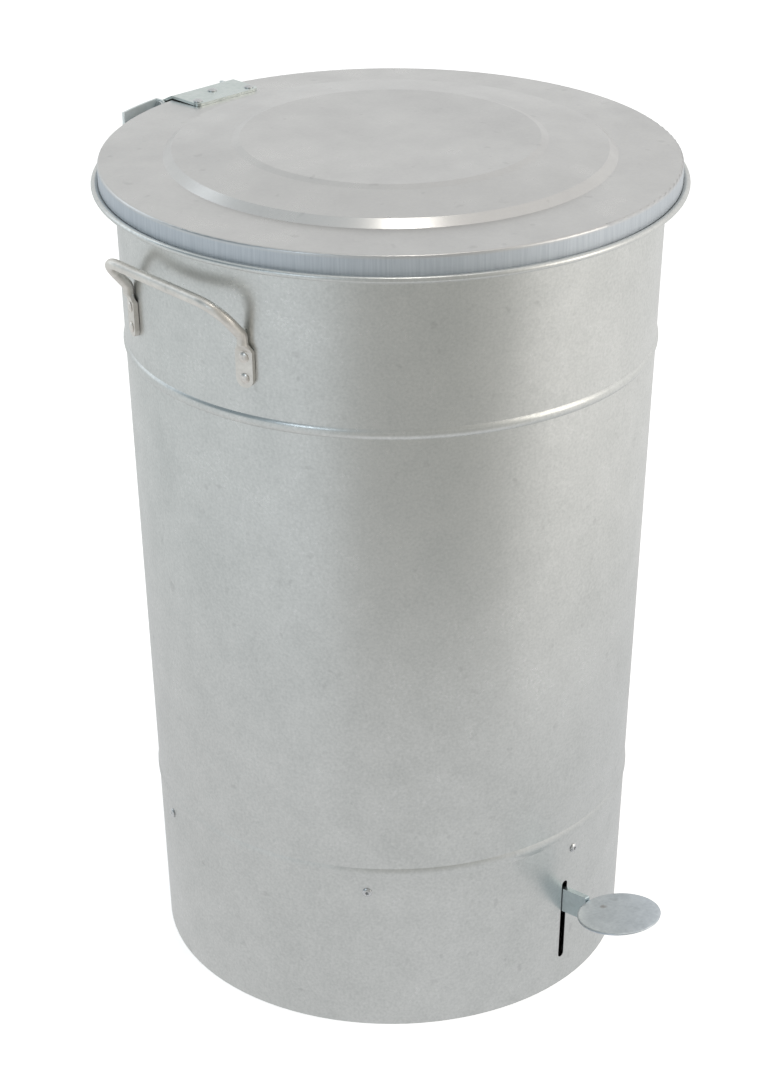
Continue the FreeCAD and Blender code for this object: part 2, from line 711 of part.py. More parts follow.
def make_hinge_bracket():
    body = new_body("hinge_bracket_sheet")
    outside = "(bracket_radius + strap_gauge)"
    foot_inside = "(%s + seat_gap)" % wall_outside("bracket_foot_bottom")
    bend_inside = "(%s + seat_gap)" % wall_outside("bracket_foot_top")
    climb = "((bracket_shelf_level - bracket_foot_top) / (bracket_radius - %s))" % bend_inside
    drop = "(strap_gauge * (hypot(1; %s) - 1) / %s)" % (climb, climb)
    corners = [
        corner(foot_inside, "bracket_foot_bottom"),
        corner("%s + strap_gauge" % foot_inside, "bracket_foot_bottom"),
        corner("%s + strap_gauge" % bend_inside, "bracket_foot_top - %s" % drop,
               bend="bracket_bend"),
        corner(outside, "bracket_shelf_level - %s" % drop, bend="bracket_bend + strap_gauge"),
        corner(outside, "bracket_top"),
        corner("bracket_radius", "bracket_top"),
        corner("bracket_radius", "bracket_shelf_level", bend="bracket_bend"),
        corner(bend_inside, "bracket_foot_top", bend="bracket_bend + strap_gauge"),
    ]
    profile = outline_sketch(body, "bracket_profile", "YZ_Plane", corners)
    revolve(body, profile, "bracket_turn", "2 * bracket_half_angle")
    ear_inside = "(hinge_plate_width / 2 + ear_gap)"
    ear_outside = "(%s + strap_gauge)" % ear_inside
    # the saddle between the ears leaves the lid's plate free to swing up
    saddle = outline_sketch(body, "bracket_saddle_outline", "XZ_Plane", [
        corner("-" + ear_inside, "bracket_saddle_level"),
        corner(ear_inside, "bracket_saddle_level"),
        corner(ear_inside, "bracket_top + 1"),
        corner("-" + ear_inside, "bracket_top + 1"),
    ])
    pocket(body, saddle, "bracket_saddle", "%s + 1" % outside, False, False)
    # the right-hand end stops just past its ear
    right_end = outline_sketch(body, "bracket_right_outline", "XZ_Plane", [
        corner(ear_outside, "bracket_saddle_level"),
        corner("bracket_radius", "bracket_saddle_level"),
        corner("bracket_radius", "bracket_top + 1"),
        corner(ear_outside, "bracket_top + 1"),
    ])
    pocket(body, right_end, "bracket_right_end", "%s + 1" % outside, False, False)
    for side, sign in (("left", "-"), ("right", "")):
        low = "(hinge_pin_level - ear_radius)"
        high = "(hinge_pin_level + ear_radius)"
        root = "(bracket_radius + strap_gauge / 4)"
        ear = outline_sketch(body, "ear_%s_outline" % side, "YZ_Plane", [
            corner("hinge_pin_back", low),
            corner("sqrt(%s ^ 2 - %s ^ 2)" % (root, ear_outside), low),
            corner("sqrt(%s ^ 2 - %s ^ 2)" % (root, ear_outside), high),
            corner("hinge_pin_back", high, arc=("half", "left", False)),
        ], "%s(%s + strap_gauge / 2)" % (sign, ear_inside))
        pad(body, ear, "ear_" + side, "strap_gauge")
    bore = circle_sketch(body, "ear_bore_outline", "YZ_Plane", "hinge_pin_back",
                         "hinge_pin_level", ROLL_INSIDE)
    pocket(body, bore, "ear_bores", "hinge_plate_width + 4 * ear_gap + 6 * strap_gauge")
    return body


# --- headed pins along X -----------------------------------------------------------

def make_pin(name, radius, head_radius, head_height, half_length, back, level):
    """A pin along X with a flat head at both ends, one of them peened on."""
    body = new_body(name)
    corners = [
        corner("0", "-(%s) - %s" % (half_length, head_height)),
        corner(head_radius, "-(%s) - %s" % (half_length, head_height)),
        corner(head_radius, "-(%s)" % half_length),
        corner(radius, "-(%s)" % half_length),
        corner(radius, half_length),
        corner(head_radius, half_length),
        corner(head_radius, "%s + %s" % (half_length, head_height)),
        corner("0", "%s + %s" % (half_length, head_height)),
    ]
    profile = outline_sketch(body, name + "_profile", "XZ_Plane", corners)
    revolve(body, profile, name + "_turn")
    body.Placement = FreeCAD.Placement(V(0, value(back), value(level)),
                                       FreeCAD.Rotation(V(0, 1, 0), 90))
    body.setExpression("Placement.Base.y", bound(back))
    body.setExpression("Placement.Base.z", bound(level))
    nodes.append(body)
    return body


# --- lid arm: a fork under the lid that the push rod lifts ---------------------------

HEAD_HALF_GAP = "(head_gauge / 2 + head_side_gap)"


def make_lid_arm():
    body = new_body("lid_arm_sheet")
    base_low = "(%s - strap_gauge)" % ARM_BASE_TOP
    back = "(hinge_plate_front + arm_base_depth)"
    base = outline_sketch(body, "arm_base_outline", "XY_Plane", [
        corner("-arm_base_width / 2", "hinge_plate_front"),
        corner("arm_base_width / 2", "hinge_plate_front"),
        corner("arm_base_width / 2", back),
        corner("-arm_base_width / 2", back),
    ], base_low)
    pad(body, base, "arm_base", "strap_gauge", False)
    cheek_front = "(hinge_plate_front + 2 * strap_gauge)"
    cheek_back = "(%s + arm_cheek_width)" % cheek_front
    # the cheek's two long edges run down to the eye round the pin
    for side, sign in (("left", "-"), ("right", "")):
        cheek = outline_sketch(body, "arm_cheek_%s_outline" % side, "YZ_Plane", [
            corner("%s - arm_cheek_radius" % ARM_PIN_BACK, ARM_PIN_LEVEL,
                   arc=("half", "left", False)),
            corner("%s + arm_cheek_radius" % ARM_PIN_BACK, ARM_PIN_LEVEL),
            corner(cheek_back, "%s + strap_gauge / 2" % base_low),
            corner(cheek_front, "%s + strap_gauge / 2" % base_low),
        ], "%s(%s + strap_gauge / 2)" % (sign, HEAD_HALF_GAP))
        pad(body, cheek, "arm_cheek_" + side, "strap_gauge")
    bore = circle_sketch(body, "arm_bore_outline", "YZ_Plane", ARM_PIN_BACK, ARM_PIN_LEVEL,
                         "arm_pin_radius + running_fit")
    pocket(body, bore, "arm_bores", "4 * (%s + strap_gauge)" % HEAD_HALF_GAP)
    return body


# --- push rod and its slotted head -----------------------------------------------------

def make_push_rod():
    """Local frame: the arm pin's rest place is the origin and the rod hangs down -Z."""
    body = new_body("push_rod")
    path = new_sketch(body, "rod_path", "XZ_Plane")
    top = V(0, -value("head_border + arm_pin_radius + head_slot_play"), 0)
    low = -value(ROD_LENGTH)
    bend = value("rod_foot_bend")
    reach = value("rod_foot_reach")
    shank = path.addGeometry(Part.LineSegment(top, V(0, low + bend, 0)), False)
    turn = path.addGeometry(Part.ArcOfCircle(Part.Circle(V(bend, low + bend, 0), V(0, 0, 1), bend),
                                             math.pi, 1.5 * math.pi), False)
    foot = path.addGeometry(Part.LineSegment(V(bend, low, 0), V(reach, low, 0)), False)
    path.addConstraint(Sketcher.Constraint("Vertical", shank))
    path.addConstraint(Sketcher.Constraint("Horizontal", foot))
    path.addConstraint(Sketcher.Constraint("PointOnObject", shank, 1, -2))
    path.addConstraint(Sketcher.Constraint("Tangent", shank, 2, turn, 1))
    path.addConstraint(Sketcher.Constraint("Tangent", turn, 2, foot, 1))
    fix(path, "DistanceY", shank, 1, "-(head_border + arm_pin_radius + head_slot_play)", "rod_top")
    fix(path, "Radius", turn, None, "rod_foot_bend", "foot_bend")
    fix(path, "DistanceY", foot, 2, "-%s" % ROD_LENGTH, "foot_level")
    fix(path, "DistanceX", foot, 2, "rod_foot_reach", "foot_reach")
    section = new_sketch(body, "rod_section", "XY_Plane")
    section.AttachmentOffset = FreeCAD.Placement(top.cross(V(1, 0, 0)), FreeCAD.Rotation())
    section.setExpression("AttachmentOffset.Base.z",
                          bound("-(head_border + arm_pin_radius + head_slot_play)"))
    ring = section.addGeometry(Part.Circle(V(0, 0, 0), V(0, 0, 1), value("rod_radius")), False)
    section.addConstraint(Sketcher.Constraint("Coincident", ring, 3, -1, 1))
    fix(section, "Radius", ring, None, "rod_radius", "rod_radius")
    doc.recompute()
    pipe = body.newObject("PartDesign::AdditivePipe", "rod_sweep")
    pipe.Profile = section
    pipe.Spine = path
    # the top is slit to take the head's tang
    slit_half = "(head_gauge / 2 + running_fit)"
    slit = outline_sketch(body, "rod_slit_outline", "XZ_Plane", [
        corner("-" + slit_half, "-head_tang_length - running_fit"),
        corner(slit_half, "-head_tang_length - running_fit"),
        corner(slit_half, "0"),
        corner("-" + slit_half, "0"),
    ])
    pocket(body, slit, "rod_slit", "4 * rod_radius")
    place(body, "0", ARM_PIN_BACK, ARM_PIN_LEVEL, "rod_lean")
    nodes.append(body)


def make_rod_head():
    """A flat plate with a slot across, so that the arm pin can sway as the rod lifts it."""
    body = new_body("push_rod_head")
    slot_radius = "(arm_pin_radius + head_slot_play)"
    border = "(%s + head_border)" % slot_radius
    tang = "(head_tang_width / 2)"
    root = "sqrt(%s ^ 2 - %s ^ 2)" % (border, tang)
    corners = [
        corner("-" + tang, "-head_tang_length"),
        corner(tang, "-head_tang_length"),
        corner(tang, "-" + root, arc=(border, "left", False)),
        corner("0", border),
        corner("-head_slot_sway", border, arc=("half", "left", False)),
        corner("-head_slot_sway", "-" + border),
        corner("-" + tang, "-" + border),
    ]
    plate = outline_sketch(body, "head_outline", "YZ_Plane", corners)
    pad(body, plate, "head_plate", "head_gauge")
    slot = outline_sketch(body, "head_slot_outline", "YZ_Plane",
                          slot_corners("-head_slot_sway + head_slot_play / 2",
                                       "head_slot_play / 2", "0", slot_radius))
    pocket(body, slot, "head_slot", "2 * head_gauge")
    place(body, "0", ARM_PIN_BACK, ARM_PIN_LEVEL, "rod_lean")
    nodes.append(body)


def make_rod_clip():
    """Push-on ring that keeps the rod's foot in the lever."""
    disc = doc.addObject("Part::Cylinder", "rod_clip_disc")
    disc.setExpression("Radius", bound("clip_radius"))
    disc.setExpression("Height", bound("clip_gauge"))
    bore = doc.addObject("Part::Cylinder", "rod_clip_bore")
    bore.setExpression("Radius", bound("rod_radius + running_fit"))
    bore.setExpression("Height", bound("clip_gauge"))
    clip = doc.addObject("Part::Cut", "rod_clip")
    clip.Label = "rod_clip"
    clip.Base = disc
    clip.Tool = bore
    clip.Placement = FreeCAD.Placement(V(0, 0, 0), FreeCAD.Rotation(V(0, 1, 0), 90))
    clip.setExpression("Placement.Base.x",
                       bound("lever_offset + lever_thickness / 2 + pivot_side_gap"))
    clip.setExpression("Placement.Base.y", bound(rod_back(ROD_FOOT_LEVEL)))
    clip.setExpression("Placement.Base.z", bound(ROD_FOOT_LEVEL))
    nodes.append(clip)


# --- cover that keeps the bin's contents off the push rod --------------------------------

def make_rod_cover():
    body = new_body("rod_cover_sheet")
    # its flanges follow the wall's curve at the middle of its height
    middle = "((cover_bottom + cover_top) / 2)"
    hug = "(%s - cover_wall_gap)" % wall_inside(middle)
    inner_hug = "(%s - cover_gauge)" % hug

    def back(radius, across):
        return "(sqrt(%s ^ 2 - (%s) ^ 2) - %s)" % (radius, across, hug)

    tip = "(cover_half_width + cover_flange)"
    inside = "(cover_half_width - cover_gauge)"
    corners = [
        corner(tip, back(hug, tip)),
        corner(inside, back(hug, inside)),
        corner(inside, "-cover_depth + cover_gauge", bend="cover_corner - cover_gauge"),
        corner("-" + inside, "-cover_depth + cover_gauge", bend="cover_corner - cover_gauge"),
        corner("-" + inside, back(hug, inside)),
        corner("-" + tip, back(hug, tip)),
        corner("-" + tip, back(inner_hug, tip)),
        corner("-cover_half_width", back(inner_hug, "cover_half_width")),
        corner("-cover_half_width", "-cover_depth", bend="cover_corner"),
        corner("cover_half_width", "-cover_depth", bend="cover_corner"),
        corner("cover_half_width", back(inner_hug, "cover_half_width")),
        corner(tip, back(inner_hug, tip)),
    ]
    section = outline_sketch(body, "cover_section", "XY_Plane", corners)
    pad(body, section, "cover_run", "(cover_top - cover_bottom) / cos(body_taper)", False)
    place(body, "0", "%s - cover_wall_gap" % wall_inside("cover_bottom"), "cover_bottom",
          "body_taper")
    return body


# --- pedal lever, plate and pivot -----------------------------------------------------------

def make_pedal_lever():
    """Local frame: the pivot is the origin and the strap stands on edge along Y."""
    body = new_body("pedal_lever")
    half = "(lever_height / 2)"
    seat = "(%s - pedal_seat_drop)" % half
    corners = [
        corner("-lever_reach", "-%s + pedal_seat_drop" % half, bend="4"),
        corner("-lever_reach + pedal_seat_length", "-" + half, bend="20"),
        corner("%s + lever_heel" % ROD_FOOT_REACH, "-" + half, bend="8"),
        corner("%s + lever_heel" % ROD_FOOT_REACH, half, bend="8"),
        corner("-lever_reach + pedal_seat_length", half, bend="1"),
        corner("-lever_reach + pedal_seat_length", seat, bend="1"),
        corner("-lever_reach", seat, bend="4"),
    ]
    strap = outline_sketch(body, "lever_outline", "YZ_Plane", corners)
    pad(body, strap, "lever_strap", "lever_thickness")
    bore = circle_sketch(body, "lever_bore_outline", "YZ_Plane", "0", "0",
                         "pivot_bolt_radius + running_fit")
    pocket(body, bore, "lever_bore", "2 * lever_thickness")
    slot = outline_sketch(body, "lever_slot_outline", "YZ_Plane",
                          slot_corners("%s - lever_slot_sway" % ROD_FOOT_REACH,
                                       "%s + lever_slot_sway" % ROD_FOOT_REACH,
                                       "0", "rod_radius + lever_slot_play"))
    pocket(body, slot, "rod_slot", "2 * lever_thickness")
    place(body, "lever_offset", "lever_pivot_back", "lever_pivot_level", "lever_rise")
    nodes.append(body)


def make_pedal_plate():
    """A round plate with a low raised middle, spot-welded on the lever's front end."""
    body = new_body("pedal_plate")
    profile = outline_sketch(body, "pedal_profile", "XZ_Plane", [
        corner("0", "0"),
        corner("pedal_radius", "0"),
        corner("pedal_radius", "pedal_gauge"),
        corner("pedal_radius - pedal_crown_border", "pedal_gauge + pedal_crown"),
        corner("0", "pedal_gauge + pedal_crown"),
    ])
    revolve(body, profile, "pedal_turn")
    seat = "(lever_height / 2 - pedal_seat_drop + seat_gap)"
    place(body, "lever_offset",
          "lever_pivot_back - pedal_reach * cos(lever_rise) + %s * sin(lever_rise)" % seat,
          "lever_pivot_level + pedal_reach * sin(lever_rise) + %s * cos(lever_rise)" % seat,
          "lever_rise")
    nodes.append(body)


PIVOT_HALF_GAP = "(lever_thickness / 2 + pivot_side_gap)"


def make_pivot_bracket():
    """A hanger welded under the floor pan, with a cheek on each side of the lever."""
    body = new_body("pivot_bracket")
    base_low = "(%s - seat_gap - strap_gauge)" % FLOOR_UNDERSIDE
    front = "(lever_pivot_back - pivot_base_length / 2)"
    back = "(lever_pivot_back + pivot_base_length / 2)"
    base = outline_sketch(body, "pivot_base_outline", "XY_Plane", [
        corner("lever_offset - pivot_base_width / 2", front),
        corner("lever_offset + pivot_base_width / 2", front),
        corner("lever_offset + pivot_base_width / 2", back),
        corner("lever_offset - pivot_base_width / 2", back),
    ], base_low)
    pad(body, base, "pivot_base", "strap_gauge", False)
    for side, sign in (("left", "-"), ("right", "+")):
        cheek = outline_sketch(body, "pivot_cheek_%s_outline" % side, "YZ_Plane", [
            corner("lever_pivot_back - pivot_cheek_radius", "lever_pivot_level",
                   arc=("half", "left", False)),
            corner("lever_pivot_back + pivot_cheek_radius", "lever_pivot_level"),
            corner(back, "%s + strap_gauge / 2" % base_low),
            corner(front, "%s + strap_gauge / 2" % base_low),
        ], "(lever_offset %s (%s + strap_gauge / 2))" % (sign, PIVOT_HALF_GAP))
        pad(body, cheek, "pivot_cheek_" + side, "strap_gauge")
    bore = circle_sketch(body, "pivot_bore_outline", "YZ_Plane", "lever_pivot_back",
                         "lever_pivot_level", "pivot_bolt_radius + running_fit")
    pocket(body, bore, "pivot_bores", "2 * pivot_base_width + 4 * lever_offset")
    nodes.append(body)


def put_across(item, across):
    """Turns an upright primitive to lie along X on the lever's pivot."""
    item.Placement = FreeCAD.Placement(V(0, 0, 0), FreeCAD.Rotation(V(0, 1, 0), 90))
    item.setExpression("Placement.Base.x", bound(across))
    item.setExpression("Placement.Base.y", bound("lever_pivot_back"))
    item.setExpression("Placement.Base.z", bound("lever_pivot_level"))


def hexagon(name, across):
    prism = doc.addObject("Part::Prism", name)
    prism.Polygon = 6
    prism.setExpression("Circumradius", bound("bolt_head_across / 2 / cos(30)"))
    prism.setExpression("Height", bound("bolt_head_height"))
    put_across(prism, across)
    return prism


def make_pivot_bolt():
    reach = "(%s + strap_gauge + seat_gap)" % PIVOT_HALF_GAP
    head_at = "lever_offset - %s - bolt_head_height" % reach
    head = hexagon("bolt_head", head_at)
    shank = doc.addObject("Part::Cylinder", "bolt_shank")
    shank.setExpression("Radius", bound("pivot_bolt_radius"))
    shank.setExpression("Height", bound("2 * %s + 2 * bolt_head_height + strap_gauge" % reach))
    put_across(shank, head_at)
    bolt = doc.addObject("Part::MultiFuse", "pivot_bolt")
    bolt.Label = "pivot_bolt"
    bolt.Shapes = [head, shank]
    nodes.append(bolt)
    nut_at = "lever_offset + %s" % reach
    blank = hexagon("nut_blank", nut_at)
    bore = doc.addObject("Part::Cylinder", "nut_bore")
    bore.setExpression("Radius", bound("pivot_bolt_radius + running_fit"))
    bore.setExpression("Height", bound("bolt_head_height"))
    put_across(bore, nut_at)
    nut = doc.addObject("Part::Cut", "pivot_nut")
    nut.Label = "pivot_nut"
    nut.Base = blank
    nut.Tool = bore
    nodes.append(nut)


# --- handles: bent round bar with flattened ends, riveted to the wall ------------------

def rounded_wire(points, radii):
    """Straight runs between the points, joined by tangent arcs."""
    edges = []
    start = points[0]
    for before, point, after, radius in zip(points, points[1:], points[2:], radii):
        back = (before - point).normalize()
        ahead = (after - point).normalize()
        half = back.getAngle(ahead) / 2.0
        setback = radius / math.tan(half)
        middle = (back + ahead).normalize()
        rise = radius / math.sin(half) - radius
        begin = point + back * setback
        finish = point + ahead * setback
        edges.append(Part.LineSegment(start, begin).toShape())
        edges.append(Part.Arc(begin, point + middle * rise, finish).toShape())
        start = finish
    edges.append(Part.LineSegment(start, points[-1]).toShape())
    return Part.Wire(edges)


def handle_tab(azimuth):
    """The flattened end on the wall, and the neck that joins it to the round bar."""
    length = value("handle_tab_top - handle_tab_bottom")
    half = value("handle_tab_width / 2")
    gauge = value("handle_tab_gauge")
    bar = value("handle_bar_radius")
    neck_at = -value("handle_neck")
    seat = wall_frame(azimuth, value("handle_tab_top"), value("seat_gap"))
    outward = seat.Rotation.multVec(V(0, 0, 1))
    down = (outward * outward.z - V(0, 0, 1)).normalize()
    # in this frame +X runs straight down the wall and +Z points out of it
    frame = FreeCAD.Placement(
        seat.Base, FreeCAD.Rotation(down, outward.cross(down), outward, "ZXY"))
    end = length - half
    outline = Part.Wire([
        Part.LineSegment(V(0, -half, 0), V(end, -half, 0)).toShape(),
        Part.Arc(V(end, -half, 0), V(length, 0, 0), V(end, half, 0)).toShape(),
        Part.LineSegment(V(end, half, 0), V(0, half, 0)).toShape(),
        Part.LineSegment(V(0, half, 0), V(0, -half, 0)).toShape(),
    ])
    tab = Part.Face(outline).extrude(V(0, 0, gauge))
    flat = Part.makePolygon([V(0, -half, 0), V(0, half, 0), V(0, half, gauge), V(0, -half, gauge),
                             V(0, -half, 0)])
    round_end = Part.Wire(Part.makeCircle(bar, V(neck_at, 0, bar), V(1, 0, 0)))
    neck = Part.makeLoft([flat, round_end], True, False)
    for shape in (tab, neck):
        shape.Placement = frame
    return tab, neck, frame.multVec(V(neck_at, 0, bar)), down * -1


def make_handle(name, azimuth):
    half_angle = value("handle_half_angle")
    level = value("handle_grip_level")
    reach = value(wall_outside("handle_grip_level") + " + handle_grip_gap + handle_bar_radius")
    turn = math.radians(azimuth)
    outward = V(math.sin(turn), -math.cos(turn), 0)
    ends = [handle_tab(azimuth - half_angle), handle_tab(azimuth + half_angle)]
    rises = [start + upward * value("handle_neck") for tab, neck, start, upward in ends]
    corners = []
    for rise in rises:
        sideways = rise - outward * rise.dot(outward)
        corners.append(outward * reach + V(sideways.x, sideways.y, level))
    points = [ends[0][2], rises[0], corners[0], corners[1], rises[1], ends[1][2]]
    bends = [value("handle_foot_bend"), value("handle_corner")]
    path = rounded_wire(points, bends + bends[::-1])
    section = Part.Wire(Part.makeCircle(value("handle_bar_radius"), ends[0][2], ends[0][3]))
    bar = path.makePipeShell([section], True, False)
    shape = bar.fuse([ends[0][0], ends[0][1], ends[1][0], ends[1][1]]).removeSplitter()
    handle = doc.addObject("Part::Feature", name + "_bar")
    handle.Shape = shape.Solids[0] if len(shape.Solids) == 1 else shape
    return handle


def handle_rivet_frames(azimuth):
    gap = value("seat_gap + handle_tab_gauge")
    half_angle = value("handle_half_angle")
    return [wall_frame(azimuth + side * half_angle, value(level), gap)
            for side in (-1, 1) for level in ("handle_rivet_low", "handle_rivet_high")]


# --- the whole bin ---------------------------------------------------------------------------

wall_grip = value("body_gauge + floor_fit + floor_gauge")
floor_azimuths = [value("floor_rivet_front"), value("180 - floor_rivet_front")]
for angle in ("floor_rivet_side", "floor_rivet_rear"):
    floor_azimuths += [value(angle), -value(angle)]
floor_level = value("floor_rivet_level")
floor_drill = rivet_set("floor_rivets", [wall_frame(azimuth, floor_level)
                                         for azimuth in floor_azimuths], wall_grip)

bracket_azimuths = [180 + side * value(angle) for side in (-1, 1)
                    for angle in ("bracket_rivet_inner", "bracket_rivet_outer")]
bracket_level = value("bracket_rivet_level")
bracket_drill = rivet_set("hinge_bracket_rivets",
                          [wall_frame(azimuth, bracket_level, value("seat_gap + strap_gauge"))
                           for azimuth in bracket_azimuths],
                          value("strap_gauge + seat_gap + body_gauge"))

cover_frames = []
for level_name in ("cover_rivet_low", "cover_rivet_high"):
    level = value(level_name)
    swing = math.degrees(math.asin(value("cover_rivet_side") / value(wall_outside(level_name))))
    cover_frames += [wall_frame(180 - swing, level), wall_frame(180 + swing, level)]
cover_drill = rivet_set("rod_cover_rivets", cover_frames,
                        value("body_gauge + cover_wall_gap + cover_gauge"))

handle_left_azimuth = -value("handle_azimuth")
handle_right_azimuth = value("handle_azimuth")
handle_grip = value("handle_tab_gauge + seat_gap + body_gauge")
left_drill = rivet_set("handle_left_rivets", handle_rivet_frames(handle_left_azimuth), handle_grip)
right_drill = rivet_set("handle_right_rivets", handle_rivet_frames(handle_right_azimuth),
                        handle_grip)

plate_top = value("%s + strap_gauge" % PLATE_UNDERSIDE)
lid_rivet_points = [
    (-value("lid_rivet_side"), value("lid_rivet_side_back")),
    (value("lid_rivet_side"), value("lid_rivet_side_back")),
    (0.0, value("lid_rivet_middle_back")),
]
lid_frames = [FreeCAD.Placement(V(across, back, plate_top), FreeCAD.Rotation())
              for across, back in lid_rivet_points]
lid_drill = rivet_set("lid_rivets", lid_frames,
                      value("%s + 2 * strap_gauge - %s" % (PLATE_UNDERSIDE, ARM_BASE_TOP)))

drilled("body_shell", make_body_shell(),
        [floor_drill, bracket_drill, cover_drill, left_drill, right_drill])
drilled("floor_pan", make_floor_pan(), [floor_drill])
drilled("lid_panel", make_lid(), [lid_drill])
drilled("lid_hinge_plate", make_hinge_plate(), [lid_drill])
drilled("lid_arm", make_lid_arm(), [lid_drill])
drilled("hinge_bracket", make_hinge_bracket(), [bracket_drill])
drilled("rod_cover", make_rod_cover(), [cover_drill])
drilled("handle_left", make_handle("handle_left", handle_left_azimuth), [left_drill])
drilled("handle_right", make_handle("handle_right", handle_right_azimuth), [right_drill])
make_pin("hinge_pin", "hinge_pin_radius", "pin_head_radius", "pin_head_height",
         "(hinge_plate_width / 2 + ear_gap + strap_gauge + seat_gap)", "hinge_pin_back",
         "hinge_pin_level")
make_pin("arm_pin", "arm_pin_radius", "pin_head_radius", "pin_head_height",
         "(%s + strap_gauge + seat_gap)" % HEAD_HALF_GAP, ARM_PIN_BACK, ARM_PIN_LEVEL)
make_push_rod()
make_rod_head()
make_rod_clip()
make_pedal_lever()
make_pedal_plate()
make_pivot_bracket()
make_pivot_bolt()
doc.recompute()

# --- check every object, then write each piece --------------------------------------------------

for item in doc.Objects:
    if "Invalid" in item.State or "Error" in item.State:
        raise RuntimeError("%s failed: %s" % (item.Name, item.State))
for node in nodes:
    if node.Shape.isNull() or not node.Shape.isValid() or not node.Shape.Solids:
        raise RuntimeError("%s has no valid solid" % node.Label)

os.makedirs("parts", exist_ok=True)
for node in nodes:
    node.Shape.exportStep("parts/%s.step" % node.Label)
    print("%-22s %2d solids %12.1f mm3" % (node.Label, len(node.Shape.Solids), node.Shape.Volume))
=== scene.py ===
# %% [markdown]
# # A round galvanized pedal bin
# The CAD model gives the bin as a fixed frame: a tapered can, its stepped lid, the rear hinge,
# two bar handles and the foot lever, each in its place and on the body that it moves with. This
# lesson dresses that frame: it sets up the camera and a studio, gives every part a finish that is
# made from what the real metal is, and models the small details that the CAD part leaves out.

# %% The frame and its size
import json
import math

import bpy
from mathutils import Matrix, Vector

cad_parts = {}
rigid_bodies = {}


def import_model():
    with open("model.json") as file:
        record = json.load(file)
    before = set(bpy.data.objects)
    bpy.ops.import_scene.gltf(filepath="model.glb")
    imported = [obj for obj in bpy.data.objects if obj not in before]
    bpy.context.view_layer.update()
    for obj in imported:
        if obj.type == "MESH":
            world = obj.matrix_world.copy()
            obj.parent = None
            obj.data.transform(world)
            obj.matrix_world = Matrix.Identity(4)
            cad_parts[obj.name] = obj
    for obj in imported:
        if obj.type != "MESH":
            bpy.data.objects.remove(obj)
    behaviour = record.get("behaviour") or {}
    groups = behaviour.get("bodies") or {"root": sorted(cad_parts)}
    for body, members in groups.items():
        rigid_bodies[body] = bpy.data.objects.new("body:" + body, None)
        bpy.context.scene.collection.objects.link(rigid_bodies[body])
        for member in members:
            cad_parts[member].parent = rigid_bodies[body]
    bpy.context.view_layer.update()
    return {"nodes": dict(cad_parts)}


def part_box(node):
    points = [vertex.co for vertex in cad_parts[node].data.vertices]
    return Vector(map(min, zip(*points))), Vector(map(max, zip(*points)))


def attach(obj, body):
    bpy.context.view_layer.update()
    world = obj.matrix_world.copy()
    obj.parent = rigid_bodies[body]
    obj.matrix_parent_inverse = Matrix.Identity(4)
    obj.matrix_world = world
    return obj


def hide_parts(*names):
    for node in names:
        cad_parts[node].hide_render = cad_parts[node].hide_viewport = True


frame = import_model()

node_of = frame["nodes"]

# %% [markdown]
# ## Camera
# A product photograph of a bin is taken with a longish lens from a standing height, so that the
# lid shows as an ellipse and the sides taper only a little more than they really do. The camera's
# place and aim are written as a position and three directions, which keeps the small roll of a
# hand-held camera; a target and a track constraint would lose it.

# %% The camera
CAMERA_PLACE = Vector((-1.3630, -1.4214, 1.3011))
CAMERA_PITCH = 0.4587
CAMERA_YAW = -0.0037
CAMERA_ROLL = -0.004
LENS_MM = 93.33
SENSOR_MM = 36.0
FAR_CLIP_M = 100.0
UPWARD = Vector((0, 0, 1))
TO_RIGHT = Vector((0.7218, -0.6921, 0.0))
TO_FAR = Vector((0.6921, 0.7218, 0.0))

aim = (TO_RIGHT * math.sin(CAMERA_YAW) * math.cos(CAMERA_PITCH)
       + TO_FAR * math.cos(CAMERA_YAW) * math.cos(CAMERA_PITCH)
       - UPWARD * math.sin(CAMERA_PITCH)).normalized()
right = aim.cross(UPWARD).normalized()
up = right.cross(aim)
rolled_right = right * math.cos(CAMERA_ROLL) + up * math.sin(CAMERA_ROLL)
rolled_up = up * math.cos(CAMERA_ROLL) - right * math.sin(CAMERA_ROLL)

camera_data = bpy.data.cameras.new("studio_camera")
camera_data.lens = LENS_MM
camera_data.sensor_width = SENSOR_MM
camera_data.sensor_fit = "AUTO"
camera_data.clip_end = FAR_CLIP_M
camera = bpy.data.objects.new("studio_camera", camera_data)
bpy.context.scene.collection.objects.link(camera)
turn = Matrix((rolled_right, rolled_up, -aim)).transposed()
camera.matrix_world = Matrix.Translation(CAMERA_PLACE) @ turn.to_4x4()
bpy.context.scene.camera = camera
print("camera distance:", round(CAMERA_PLACE.length, 3), "m")

# %% [markdown]
# ## Colour and node helpers
# Colours are picked on a screen as sRGB hex values, but a renderer calculates with linear light,
# so one function turns the one into the other. A second small function adds a shader node with
# its settings and its links in one line, so that a finish reads as a list of steps. The third
# clears the selection before each modelling step.

# %% Three helpers
def linear(hex_colour):
    """An sRGB hex value as a linear colour with full alpha."""
    channels = [int(hex_colour[i:i + 2], 16) / 255 for i in (1, 3, 5)]
    return [c / 12.92 if c <= 0.04045 else ((c + 0.055) / 1.055) ** 2.4 for c in channels] + [1.0]


def add(tree, kind, settings=None, links=None):
    """Adds a node. settings holds input values or node options, links what feeds each input."""
    item = tree.nodes.new(kind)
    for key, setting in (settings or {}).items():
        if isinstance(key, int) or key in item.inputs:
            item.inputs[key].default_value = setting
        else:
            setattr(item, key, setting)
    for key, source in (links or {}).items():
        tree.links.new(source, item.inputs[key])
    return item


def deselect():
    """Leaves nothing selected, so that the next operator acts on its own piece alone."""
    for item in bpy.context.view_layer.objects:
        item.select_set(False)


print("pure white is", linear("#FFFFFF")[0])

